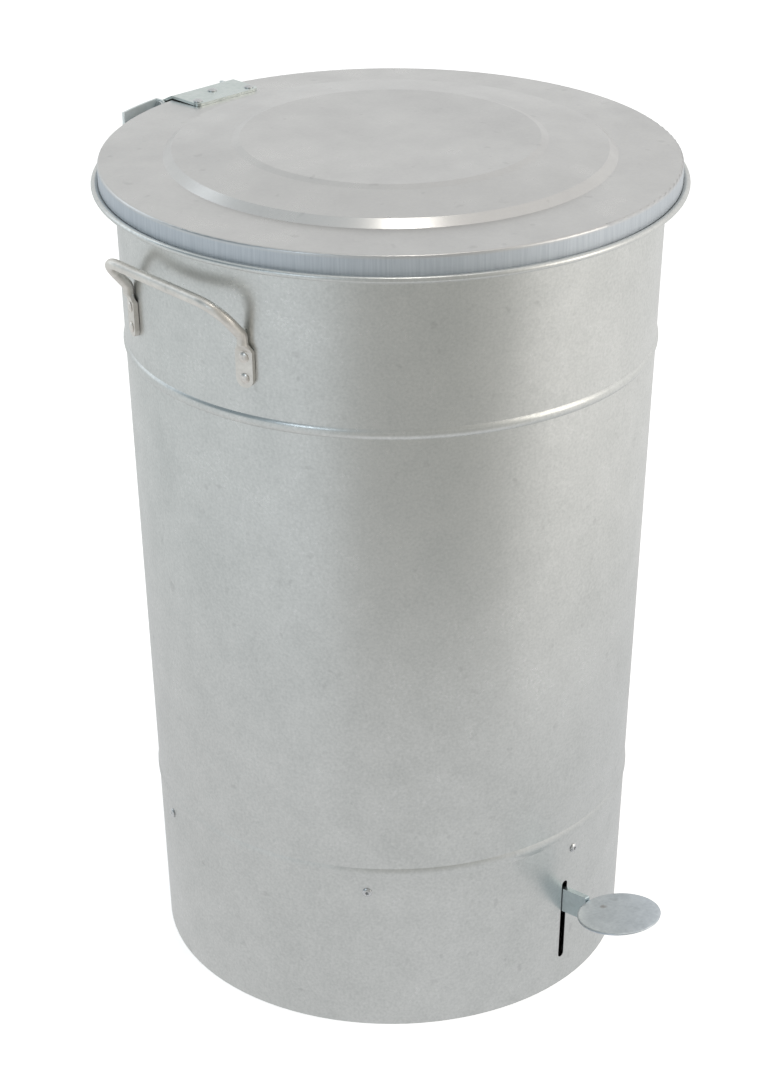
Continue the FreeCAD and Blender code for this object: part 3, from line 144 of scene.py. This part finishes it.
# %% [markdown]
# ## Floor and studio light
# Bare metal shows what is around it rather than a colour of its own, so the studio is the first
# half of every metal finish. The surroundings are bright and soft at the sides and behind, and
# dimmer on the camera's side, which is what draws the darker upright band down the middle of the
# can. The left side is a little cooler than the right, as with a window on one side of a room.

# %% The floor
FLOOR_SIZE = 24.0
PAPER_FADE_M = (0.42, 1.05)
UNDER_CAN_M = (0.176, 0.1845)
SEEN_GLOW = 0.55
MIRRORED_GLOW = 0.74
deselect()
bpy.ops.mesh.primitive_plane_add(size=FLOOR_SIZE, location=(0, 0, 0))
floor = bpy.context.object
floor.name = "studio_floor"
floor_paint = bpy.data.materials.new("matt_white_floor")
floor_paint.use_nodes = True
paper = floor_paint.node_tree
paper.nodes.clear()
spot = add(paper, "ShaderNodeTexCoord").outputs["Object"]
away = add(paper, "ShaderNodeVectorMath", {"operation": "LENGTH"}, {0: spot}).outputs["Value"]
# nothing glows under the can, so that its hollow base stays as dark as a real one
open_floor = add(paper, "ShaderNodeMapRange", {"From Min": UNDER_CAN_M[0],
                                               "From Max": UNDER_CAN_M[1]}, {"Value": away})
lift = add(paper, "ShaderNodeMath", {"operation": "MULTIPLY", 1: SEEN_GLOW},
           {0: open_floor.outputs["Result"]})
seen = add(paper, "ShaderNodeBsdfPrincipled", {"Base Color": linear("#F4F4F3"), "Roughness": 0.9,
                                               "Specular IOR Level": 0.1,
                                               "Emission Color": linear("#FFFFFF")},
           {"Emission Strength": lift.outputs["Value"]})
# in the metal's reflections the paper is a pale sheet that ends in front of the bin
near_paper = add(paper, "ShaderNodeMapRange", {"From Min": PAPER_FADE_M[0],
                                               "From Max": PAPER_FADE_M[1], "To Min": 1.0,
                                               "To Max": 0.0, "interpolation_type": "SMOOTHSTEP"},
                 {"Value": away})
paper_glow = add(paper, "ShaderNodeMath", {"operation": "MULTIPLY", 1: MIRRORED_GLOW},
                 {0: open_floor.outputs["Result"]})
mirrored = add(paper, "ShaderNodeEmission", {"Color": linear("#FDFEFF")},
               {"Strength": paper_glow.outputs["Value"]})
beyond = add(paper, "ShaderNodeBsdfTransparent")
faded = add(paper, "ShaderNodeMixShader", None,
            {0: near_paper.outputs["Result"], 1: beyond.outputs[0], 2: mirrored.outputs[0]})
glossy = add(paper, "ShaderNodeLightPath").outputs["Is Glossy Ray"]
floor_look = add(paper, "ShaderNodeMixShader", None,
                 {0: glossy, 1: seen.outputs[0], 2: faded.outputs[0]})
add(paper, "ShaderNodeOutputMaterial", None, {"Surface": floor_look.outputs[0]})
floor.data.materials.append(floor_paint)
print("floor:", FLOOR_SIZE, "m square")

# %% [markdown]
# ### Surroundings
# The room is a colour by bearing times a brightness by height, so each can be tuned by itself:
# the bearing sets the upright bands on the wall, and the height sets how the lid and the beads
# differ from it. The camera itself sees plain white behind the bin, as in a cut-out picture.

# %% The room by bearing
world = bpy.data.worlds.new("soft_studio")
world.use_nodes = True
bpy.context.scene.world = world
sky = world.node_tree
sky.nodes.clear()
around = add(sky, "ShaderNodeTexCoord").outputs["Generated"]
to_camera = add(sky, "ShaderNodeVectorMath", {"operation": "DOT_PRODUCT", 1: -TO_FAR}, {0: around})
to_side = add(sky, "ShaderNodeVectorMath", {"operation": "DOT_PRODUCT", 1: TO_RIGHT}, {0: around})
bearing = add(sky, "ShaderNodeMath", {"operation": "ARCTAN2"},
              {0: to_side.outputs["Value"], 1: to_camera.outputs["Value"]})
round_trip = add(sky, "ShaderNodeMapRange", {"From Min": -math.pi, "From Max": math.pi},
                 {"Value": bearing.outputs["Value"]})
# bearing from the camera's side in degrees, left is negative, and the shade of the room there
ROOM = ((-180, "#E5E6E6"), (-120, "#E0E4E5"), (-32, "#E0E4E6"), (-13, "#B7B7B4"), (30, "#B2B2AE"),
        (48, "#C2C1BD"), (70, "#FAF8F5"), (120, "#F6F5F3"), (180, "#E5E6E6"))
room_stops = [((degrees + 180) / 360, linear(shade)) for degrees, shade in ROOM]
room = add(sky, "ShaderNodeValToRGB", None, {"Fac": round_trip.outputs["Result"]})
print("room:", len(ROOM), "shades by bearing")

# %% The brightness by height
height = add(sky, "ShaderNodeSeparateXYZ", None, {0: around}).outputs["Z"]
# height of the direction, from -1 straight down to 1 straight up, and the brightness there
HEIGHTS = ((-0.10, 1.0), (0.08, 1.1), (0.30, 1.05), (0.44, 1.0), (0.64, 0.96), (1.0, 0.92))
# a ramp can't be brighter than white, so its stops are shares of the most
MOST = max(share for up_share, share in HEIGHTS)
height_stops = [((up_share + 1) / 2, [share / MOST] * 3 + [1.0]) for up_share, share in HEIGHTS]
level = add(sky, "ShaderNodeMapRange", {"From Min": -1.0, "From Max": 1.0}, {"Value": height})
ladder = add(sky, "ShaderNodeValToRGB", None, {"Fac": level.outputs["Result"]})
print("brightest just above the horizon:", MOST)

# %% Both ramps' stops
for ramp, stops in ((room, room_stops), (ladder, height_stops)):
    elements = ramp.color_ramp.elements
    for element, (position, colour) in zip((elements[0], elements[1]), (stops[0], stops[-1])):
        element.position = position
        element.color = colour
    for position, colour in stops[1:-1]:
        elements.new(position).color = colour
    print("stops:", len(elements))
laddered = add(sky, "ShaderNodeMix", {"data_type": "RGBA", "blend_type": "MULTIPLY", 0: 1.0},
               {6: room.outputs["Color"], 7: ladder.outputs["Color"]})

# %% [markdown]
# Above the horizon on the camera's left stands the darker half of the room, which the upper slopes
# of the beads and the rim mirror as a cool dark line. It could be a dark board beside the bin, but
# a shade on the room itself has a soft edge and casts no shadow.

# %% The room's dark half
TO_GLOOM = (-TO_FAR * 0.39 - TO_RIGHT * 0.92).normalized()
GLOOM_FACING = (0.45, 0.8)
GLOOM_HEIGHT = (0.02, 0.22)
dark_side = add(sky, "ShaderNodeVectorMath", {"operation": "DOT_PRODUCT", 1: TO_GLOOM},
                {0: around})
facing = add(sky, "ShaderNodeMapRange", {"From Min": GLOOM_FACING[0], "From Max": GLOOM_FACING[1],
                                         "interpolation_type": "SMOOTHSTEP"},
             {"Value": dark_side.outputs["Value"]})
raised = add(sky, "ShaderNodeMapRange", {"From Min": GLOOM_HEIGHT[0], "From Max": GLOOM_HEIGHT[1],
                                         "interpolation_type": "SMOOTHSTEP"}, {"Value": height})
gloom = add(sky, "ShaderNodeMath", {"operation": "MULTIPLY"},
            {0: facing.outputs["Result"], 1: raised.outputs["Result"]})
toned = add(sky, "ShaderNodeMix", {"data_type": "RGBA", "blend_type": "MULTIPLY",
                                   7: linear("#8F9CA3")},
            {0: gloom.outputs["Value"], 6: laddered.outputs[2]})
print("dark half to the camera's left")

# %% What the metal mirrors and what the camera sees
glow = add(sky, "ShaderNodeBackground", {"Strength": MOST}, {"Color": toned.outputs[2]})
backdrop = add(sky, "ShaderNodeBackground", {"Color": linear("#FFFFFF"), "Strength": 1.0})
direct = add(sky, "ShaderNodeLightPath").outputs["Is Camera Ray"]
chosen = add(sky, "ShaderNodeMixShader", None,
             {0: direct, 1: glow.outputs[0], 2: backdrop.outputs[0]})
add(sky, "ShaderNodeOutputWorld", None, {"Surface": chosen.outputs[0]})
# the standard view keeps the backdrop's white as white
bpy.context.scene.view_settings.view_transform = "Standard"
print("surroundings: bright at the sides, dimmer behind the camera")

# %% [markdown]
# ### Lamps
# A small overhead soft box makes the one crisp glint on the lid's pressed step, and the wide ones
# at the sides lift the wall's edges. A small cool window to the left of the camera glints along
# the lid's edge and the handle. All of them face the middle of the bin, so they are one table.

# %% The lamps
MIDDLE = Vector((0, 0, 0.33))
LAMPS = (
    # name, metres to the right, to the far side and up, width and height in m, watts, colour
    ("overhead_box", 0.21, -0.62, 3.0, 0.22, 0.32, 5.2, "#FFFCF6"),
    ("right_box", 2.6, -0.9, 1.3, 1.4, 2.0, 12.0, "#FFF8EC"),
    ("left_box", -2.4, 0.9, 1.5, 1.4, 2.0, 6.0, "#EFF7FF"),
    ("window", -1.4, -2.0, 1.55, 0.7, 0.7, 4.0, "#E8F4FF"),
)
for name, rightward, farther, raised_m, width, tall, watts, colour in LAMPS:
    light = bpy.data.lights.new(name, "AREA")
    light.shape = "RECTANGLE"
    light.size, light.size_y = width, tall
    light.energy = watts
    light.color = linear(colour)[:3]
    lamp = bpy.data.objects.new(name, light)
    bpy.context.scene.collection.objects.link(lamp)
    lamp.location = TO_RIGHT * rightward + TO_FAR * farther + UPWARD * raised_m
    lamp.rotation_euler = (MIDDLE - lamp.location).to_track_quat("-Z", "Y").to_euler()
print("lamps:", ", ".join(entry[0] for entry in LAMPS))

# %% [markdown]
# ## Galvanized sheet
# The can and the lid are cold rolled steel sheet that was drawn through molten zinc. The zinc
# freezes in fine crystals, so from a metre away the sheet looks softly speckled, not brushed:
# each crystal mirrors the room at a slightly different strength. Handling leaves faint smudges a
# hand wide, and the rolling leaves the sheet a little wavy, which breaks up long reflections.
# It could be a picture of real spangle, but noise on the object's own coordinates has the same
# look at any distance and needs no file. Each layer's size is given in millimetres.

# %% The metal finish
# noise seldom leaves the middle of its range, so that middle is spread over the whole swing
TONE_SPREAD = (0.34, 0.66)
SHEEN_SPREAD = (0.3, 0.7)
ROUGH_SWING = 0.07
SPECK_MM = 11.0
SPECK_SPREAD = (0.70, 0.78)
SPECK_DEPTH = 0.10
RELIEF_STRENGTH = 0.6


def metal_finish(name, light, dark, rough, grain_mm=2.6, cloud_mm=34.0, smudge_mm=150.0,
                 grain_share=0.35, relief_mm=0.02, metallic=1.0):
    """A bare metal whose tone wanders between two colours. Returns its material and layers."""
    material = bpy.data.materials.new(name)
    material.use_nodes = True
    tree = material.node_tree
    tree.nodes.clear()
    place = add(tree, "ShaderNodeTexCoord").outputs["Object"]
    # noise with a scale of 1 / size has blotches of about that size in metres
    grain = add(tree, "ShaderNodeTexNoise", {"Scale": 1000 / grain_mm, "Detail": 2.0,
                                             "Roughness": 0.6}, {"Vector": place})
    cloud = add(tree, "ShaderNodeTexNoise", {"Scale": 1000 / cloud_mm, "Detail": 4.0,
                                             "Roughness": 0.55}, {"Vector": place})
    smudge = add(tree, "ShaderNodeTexNoise", {"Scale": 1000 / smudge_mm, "Detail": 3.0,
                                              "Roughness": 0.5, "Distortion": 0.6},
                 {"Vector": place})
    wide = add(tree, "ShaderNodeMix", {"data_type": "FLOAT", 0: 0.5},
               {2: cloud.outputs["Fac"], 3: smudge.outputs["Fac"]})
    blend = add(tree, "ShaderNodeMix", {"data_type": "FLOAT", 0: grain_share},
                {2: wide.outputs[0], 3: grain.outputs["Fac"]})
    spread = add(tree, "ShaderNodeMapRange", {"From Min": TONE_SPREAD[0],
                                              "From Max": TONE_SPREAD[1]},
                 {"Value": blend.outputs[0]})
    tone = add(tree, "ShaderNodeMix", {"data_type": "RGBA", 6: linear(dark), 7: linear(light)},
               {0: spread.outputs["Result"]})
    # a few small dull marks, where the noise is at its highest
    speck = add(tree, "ShaderNodeTexNoise", {"Scale": 1000 / SPECK_MM, "Detail": 1.0},
                {"Vector": place})
    mark = add(tree, "ShaderNodeMapRange", {"From Min": SPECK_SPREAD[0],
                                            "From Max": SPECK_SPREAD[1],
                                            "To Min": 1.0, "To Max": 1.0 - SPECK_DEPTH},
               {"Value": speck.outputs["Fac"]})
    marked = add(tree, "ShaderNodeMix", {"data_type": "RGBA", "blend_type": "MULTIPLY", 0: 1.0},
                 {6: tone.outputs[2], 7: mark.outputs["Result"]})
    sheen = add(tree, "ShaderNodeMapRange", {"From Min": SHEEN_SPREAD[0],
                                             "From Max": SHEEN_SPREAD[1],
                                             "To Min": rough + ROUGH_SWING,
                                             "To Max": rough - ROUGH_SWING},
                {"Value": blend.outputs[0]})
    relief = add(tree, "ShaderNodeBump", {"Strength": RELIEF_STRENGTH,
                                          "Distance": relief_mm / 1000},
                 {"Height": grain.outputs["Fac"]})
    shader = add(tree, "ShaderNodeBsdfPrincipled", {"Metallic": metallic},
                 {"Base Color": marked.outputs[2], "Roughness": sheen.outputs["Result"],
                  "Normal": relief.outputs["Normal"]})
    add(tree, "ShaderNodeOutputMaterial", None, {"Surface": shader.outputs[0]})
    return {"material": material, "tree": tree, "shader": shader, "tone": marked.outputs[2],
            "sheen": sheen.outputs["Result"], "place": place}


def wear(finish, *names):
    """Puts a finish on CAD nodes."""
    for name in names:
        node_of[name].data.materials.clear()
        node_of[name].data.materials.append(finish["material"])
    print(finish["material"].name, "->", ", ".join(names))


# %% [markdown]
# ### The can and the lid
# The can's sheet is a nearly neutral grey with a fine clear spangle; the cool cast on its walls is
# the room's, which it mirrors. The lid is pressed from flatter sheet, so its spangle is fainter,
# and its grey is more even and a little warmer.

# %% The can's sheet
can_sheet = metal_finish("galvanized_steel_sheet", "#DDDEDC", "#C8CAC8", 0.32,
                         grain_mm=2.2, grain_share=0.5, cloud_mm=26.0)
wear(can_sheet, "body_shell", "floor_pan", "rod_cover")

# %% The lid's sheet
lid_sheet = metal_finish("galvanized_steel_lid_sheet", "#D6D5D3", "#CAC9C8", 0.31,
                         grain_share=0.2, relief_mm=0.003)
wear(lid_sheet, "lid_panel")

# %% [markdown]
# ### The lid's skirt
# The skirt was drawn down over a die, which leaves fine upright lines and a duller band; its
# cooler, blue-grey colour is painted shade for the dim rim that it mirrors from below.
# The lines are too fine to model, so they are noise that is stretched upwards, and the height
# above the floor says where the skirt begins. They are drawn as coarse as they need to show.

# %% Draw marks and painted shade on the lid's skirt
SKIRT_TOP_M = (0.6425, 0.6452)
STREAK_MM = 1.3
STREAK_STRETCH = 0.04
SKIRT_ROUGH = 0.58
lid_tree = lid_sheet["tree"]
lid_height = add(lid_tree, "ShaderNodeSeparateXYZ", None, {0: lid_sheet["place"]}).outputs["Z"]
on_skirt = add(lid_tree, "ShaderNodeMapRange", {"From Min": SKIRT_TOP_M[0],
                                                "From Max": SKIRT_TOP_M[1], "To Min": 1.0,
                                                "To Max": 0.0}, {"Value": lid_height})
upright = add(lid_tree, "ShaderNodeMapping", {"Scale": (1.0, 1.0, STREAK_STRETCH)},
              {"Vector": lid_sheet["place"]})
streak = add(lid_tree, "ShaderNodeTexNoise", {"Scale": 1000 / STREAK_MM, "Detail": 2.0},
             {"Vector": upright.outputs[0]})
# the streaks' colours are cooler and bluer than the lid's: painted shade for the dim rim below,
# laid over the real draw marks
streaks_and_painted_shade = add(lid_tree, "ShaderNodeMix", {"data_type": "RGBA", 6: linear("#BCC3CA"),
                                           7: linear("#DADFE4")}, {0: streak.outputs["Fac"]})
skirt_marks_and_shade = add(lid_tree, "ShaderNodeMix", {"data_type": "RGBA"},
                 {0: on_skirt.outputs["Result"], 6: lid_sheet["tone"], 7: streaks_and_painted_shade.outputs[2]})
lid_tree.links.new(skirt_marks_and_shade.outputs[2], lid_sheet["shader"].inputs["Base Color"])
dull = add(lid_tree, "ShaderNodeMix", {"data_type": "FLOAT", 3: SKIRT_ROUGH},
           {0: on_skirt.outputs["Result"], 2: lid_sheet["sheen"]})
lid_tree.links.new(dull.outputs[0], lid_sheet["shader"].inputs["Roughness"])
print("draw marks below", SKIRT_TOP_M[1], "m")

# %% [markdown]
# ## Galvanized bar
# The handles are round steel bar, bent, flattened at the ends and dipped after forming. That
# zinc lies thicker and duller than on rolled sheet, in soft patches about as wide as the bar.

# %% The handles' bar
handle_bar = metal_finish("hot_dip_galvanized_bar", "#EEEAE4", "#D8D4CE", 0.42,
                          grain_mm=3.5, cloud_mm=12.0, smudge_mm=45.0, relief_mm=0.05)
wear(handle_bar, "handle_left", "handle_right")

# %% [markdown]
# ## Zinc-plated parts
# Small pressed parts are plated cold in a zinc bath and then passivated, which leaves a smoother
# skin with a pale blue-green cast. The hinge leaves and the lever have that cast; the pin, bolt
# and rod are brighter.

# %% The plated parts
hinge_plating = metal_finish("zinc_plated_steel_blue", "#DEE4E1", "#CDD6D3", 0.30,
                             grain_mm=4.0, cloud_mm=16.0, smudge_mm=50.0, relief_mm=0.01)
wear(hinge_plating, "lid_hinge_plate", "lid_arm", "pivot_bracket")

# the bracket is made paler and less metallic than the other plated parts, so part of its light is
# scattered: painted brightness that stands in for the bright reflection on its wing's inner face
bracket_painted_bright = metal_finish("zinc_plated_steel_painted_bright", "#EBF0F0", "#DDE4E4", 0.44,
                               grain_mm=4.0, cloud_mm=20.0, smudge_mm=60.0, metallic=0.35)
wear(bracket_painted_bright, "hinge_bracket")

lever_plating = metal_finish("zinc_plated_steel_lever", "#CEDADD", "#BAC7CB", 0.38,
                             grain_mm=4.0, cloud_mm=20.0, smudge_mm=60.0, relief_mm=0.02)
wear(lever_plating, "pedal_lever")

pedal_plating = metal_finish("zinc_plated_steel_pedal", "#D6DCE1", "#BDC4CA", 0.40,
                             grain_mm=3.0, cloud_mm=14.0, smudge_mm=40.0, relief_mm=0.04)
wear(pedal_plating, "pedal_plate")

rod_plating = metal_finish("bright_zinc_plated_steel", "#D9DDDE", "#C9CED0", 0.28,
                           grain_mm=3.0, cloud_mm=18.0, smudge_mm=60.0, relief_mm=0.01)
wear(rod_plating, "push_rod", "push_rod_head", "rod_clip", "arm_pin", "hinge_pin",
     "pivot_bolt", "pivot_nut")

# %% [markdown]
# ## Aluminium rivets
# The rivets are soft aluminium, so their heads are whiter and shinier than the zinc around them.

# %% The rivets
rivet_metal = metal_finish("aluminium_rivet", "#DADBDC", "#C6C7C8", 0.26,
                           grain_mm=1.2, cloud_mm=4.0, smudge_mm=10.0, relief_mm=0.01)
wear(rivet_metal, "hinge_bracket_rivets", "lid_rivets", "rod_cover_rivets")

# the handles' rivets are steel and were dipped by themselves before they were set, so their
# heads have the bar's dull zinc
dipped_rivet = metal_finish("hot_dip_galvanized_rivet", "#EEE9E3", "#D2CDC7", 0.34,
                            grain_mm=1.6, cloud_mm=4.0, smudge_mm=10.0, relief_mm=0.02)
wear(dipped_rivet, "handle_left_rivets", "handle_right_rivets")

# %% [markdown]
# ## Blind rivets round the base
# The floor pan is held by blind rivets, set from outside alone: a steel mandrel is pulled through
# the soft rivet until it snaps, which leaves a hole in the head with the mandrel's broken end
# down inside it. The CAD rivet is a plain dome, so here one rivet is modelled properly: a circle
# is extruded and scaled ring by ring along its outline, the way a turned part is drawn, and the
# finished rivet is copied to each of its six places.

# %% One blind rivet
RIVET_OUTLINE_MM = (
    # radius, height above the sheet, from the blind end outwards and down into the hole
    (1.6, -4.2), (2.2, -3.6), (2.3, -2.6), (2.0, -2.1), (2.0, 0.03), (3.8, 0.06), (3.8, 0.5),
    (3.5, 0.85), (3.0, 1.18), (2.4, 1.45), (1.85, 1.62), (1.45, 1.62), (1.3, 1.45), (1.25, 0.7),
    (1.0, 0.68), (0.85, 0.82), (0.3, 0.9),
)
RIVET_SIDES = 40
RIVET_CREASE = math.radians(38)
MANDREL_RADIUS = 1.1 / 1000
MERGE_M = 1e-6

rivet_steel = metal_finish("steel_mandrel", "#9B9C9C", "#7E8080", 0.38,
                           grain_mm=1.0, cloud_mm=3.0, smudge_mm=8.0)


def turned_piece(name, outline_mm, sides):
    """A turned piece about Z: a circle that is extruded and scaled along an outline."""
    deselect()
    radius, height = outline_mm[0]
    bpy.ops.mesh.primitive_circle_add(vertices=sides, radius=radius / 1000, fill_type="NGON",
                                      location=(0, 0, height / 1000))
    piece = bpy.context.object
    piece.name = name
    bpy.ops.object.transform_apply(location=True, rotation=True, scale=True)
    bpy.ops.object.mode_set(mode="EDIT")
    bpy.ops.mesh.select_all(action="SELECT")
    for (before, low), (after, high) in zip(outline_mm, outline_mm[1:]):
        bpy.ops.mesh.extrude_region_move(
            TRANSFORM_OT_translate={"value": (0, 0, (high - low) / 1000)})
        share = after / before
        bpy.ops.transform.resize(value=(share, share, 1), center_override=(0, 0, 0))
    bpy.ops.mesh.select_all(action="SELECT")
    bpy.ops.mesh.remove_doubles(threshold=MERGE_M)
    bpy.ops.mesh.normals_make_consistent(inside=False)
    bpy.ops.object.mode_set(mode="OBJECT")
    return piece


first_rivet = turned_piece("blind_rivet", RIVET_OUTLINE_MM, RIVET_SIDES)
first_rivet.data.materials.append(rivet_metal["material"])
first_rivet.data.materials.append(rivet_steel["material"])
for face in first_rivet.data.polygons:
    centre = face.center
    if math.hypot(centre.x, centre.y) < MANDREL_RADIUS and centre.z > 0:
        face.material_index = 1
bpy.ops.object.shade_smooth_by_angle(angle=RIVET_CREASE)
print("one rivet:", len(first_rivet.data.polygons), "faces")

# %% [markdown]
# ### Round the wall
# Each rivet stands square to the wall, which leans outwards a little because the can is tapered.
# So a copy is turned to the wall's own direction at its place, and its head sits flat on the sheet.

# %% Six rivets round the wall
BASE_RADIUS = 0.1844
TAPER = math.radians(1.75)
RIVET_LEVEL = 0.1235
RIVET_AZIMUTHS = (4.6, 175.4, 49.6, -49.6, 111.1, -111.1)
wall_radius = BASE_RADIUS + RIVET_LEVEL * math.tan(TAPER)

floor_set = []
for azimuth in RIVET_AZIMUTHS:
    deselect()
    first_rivet.select_set(True)
    bpy.context.view_layer.objects.active = first_rivet
    bpy.ops.object.duplicate(linked=False)
    rivet = bpy.context.object
    around_z = math.radians(azimuth)
    outward = Vector((math.cos(TAPER) * math.sin(around_z), -math.cos(TAPER) * math.cos(around_z),
                      -math.sin(TAPER)))
    seat = Vector((wall_radius * math.sin(around_z), -wall_radius * math.cos(around_z),
                   RIVET_LEVEL))
    rivet.matrix_world = (Matrix.Translation(seat)
                          @ outward.to_track_quat("Z", "Y").to_matrix().to_4x4())
    bpy.ops.object.transform_apply(location=True, rotation=True, scale=True)
    floor_set.append(rivet)
bpy.data.objects.remove(first_rivet)
deselect()
for rivet in floor_set:
    rivet.select_set(True)
bpy.context.view_layer.objects.active = floor_set[0]
bpy.ops.object.join()
blind_rivets = bpy.context.object
blind_rivets.name = "floor_blind_rivets"
blind_rivets.data.name = "floor_blind_rivets"
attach(blind_rivets, "can")
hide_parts("floor_rivets")
print("blind rivets:", len(floor_set), "at", round(wall_radius, 4), "m from the axis")

# %% [markdown]
# ## The pedal's plate
# The foot plate is a pressed disc: crowned, with an edge that rolls over. The CAD plate has a flat
# raised middle, which is enough to stand on but shows as a hard ring. A turned outline gives the
# soft crown, and then the finished disc is tilted with the lever and set on its seat.

# %% The crowned disc
DISC_OUTLINE_MM = (
    (10.0, 0.0), (22.0, 0.0), (29.8, 0.0), (31.2, 0.12), (31.8, 0.45), (32.0, 0.95), (31.85, 1.4),
    (31.4, 1.75), (30.6, 2.0), (29.0, 2.22), (26.0, 2.48), (21.0, 2.74), (14.0, 2.92),
    (7.0, 2.99), (1.5, 3.0),
)
DISC_SIDES = 96
DISC_CREASE = math.radians(50)
PIVOT_M = Vector((0.0068, -0.0120, 0.0605))
LEVER_RISE = math.radians(6.3)
PEDAL_REACH_M = 0.2342
SEAT_HEIGHT_M = 0.0058
along = Vector((0, -math.cos(LEVER_RISE), math.sin(LEVER_RISE)))
square = Vector((0, math.sin(LEVER_RISE), math.cos(LEVER_RISE)))

pedal_disc = turned_piece("pedal_disc", DISC_OUTLINE_MM, DISC_SIDES)
pedal_disc.data.materials.append(pedal_plating["material"])
disc_turn = Matrix((square.cross(along), -along, square)).transposed()
pedal_disc.matrix_world = (Matrix.Translation(PIVOT_M + along * PEDAL_REACH_M
                                              + square * SEAT_HEIGHT_M) @ disc_turn.to_4x4())
bpy.ops.object.transform_apply(location=True, rotation=True, scale=True)
bpy.ops.object.shade_smooth_by_angle(angle=DISC_CREASE)
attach(pedal_disc, "pedal")
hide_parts("pedal_plate")
plate_low, plate_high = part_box("pedal_plate")
print("CAD plate:", [round(c, 4) for c in plate_low], [round(c, 4) for c in plate_high])
corners = [pedal_disc.matrix_world @ v.co for v in pedal_disc.data.vertices]
print("disc:", [round(min(c[i] for c in corners), 4) for i in range(3)],
      [round(max(c[i] for c in corners), 4) for i in range(3)])

# %% [markdown]
# ### The spot weld
# The disc is spot welded to the strap's end from above. The electrode burns a small grey-brown
# mark through the zinc, a little toward the can from the disc's middle. It has no depth to speak
# of, so it is a stain in the finish, with an edge that noise makes ragged.

# %% The spot weld's mark
# from the disc's middle toward the can, then sideways, then up to the crown
WELD_INSET_M = 0.0150
WELD_SIDE_M = -0.0013
CROWN_M = 0.0029
MARK_RADII_M = (0.0009, 0.0033)
RAGGED_SIZE_MM = 2.5
RAGGED_DEPTH_M = 0.0030
MARK_DEPTH = 0.62
weld = (PIVOT_M + along * (PEDAL_REACH_M - WELD_INSET_M) + square * (SEAT_HEIGHT_M + CROWN_M)
        + Vector((WELD_SIDE_M, 0, 0)))
pedal_tree = pedal_plating["tree"]
from_weld = add(pedal_tree, "ShaderNodeVectorMath", {"operation": "DISTANCE", 1: weld},
                {0: pedal_plating["place"]})
ragged = add(pedal_tree, "ShaderNodeTexNoise", {"Scale": 1000 / RAGGED_SIZE_MM, "Detail": 2.0},
             {"Vector": pedal_plating["place"]})
edge = add(pedal_tree, "ShaderNodeMath", {"operation": "MULTIPLY_ADD", 1: RAGGED_DEPTH_M,
                                          2: -RAGGED_DEPTH_M / 2},
           {0: ragged.outputs["Fac"]})
reach = add(pedal_tree, "ShaderNodeMath", {"operation": "ADD"},
            {0: from_weld.outputs["Value"], 1: edge.outputs["Value"]})
burnt = add(pedal_tree, "ShaderNodeMapRange", {"From Min": MARK_RADII_M[0],
                                               "From Max": MARK_RADII_M[1],
                                               "To Min": MARK_DEPTH, "To Max": 0.0},
            {"Value": reach.outputs["Value"]})
weld_tone = add(pedal_tree, "ShaderNodeMix", {"data_type": "RGBA", 7: linear("#8A807C")},
                {0: burnt.outputs["Result"], 6: pedal_plating["tone"]})
pedal_tree.links.new(weld_tone.outputs[2], pedal_plating["shader"].inputs["Base Color"])
print("weld mark at", [round(c, 4) for c in weld])
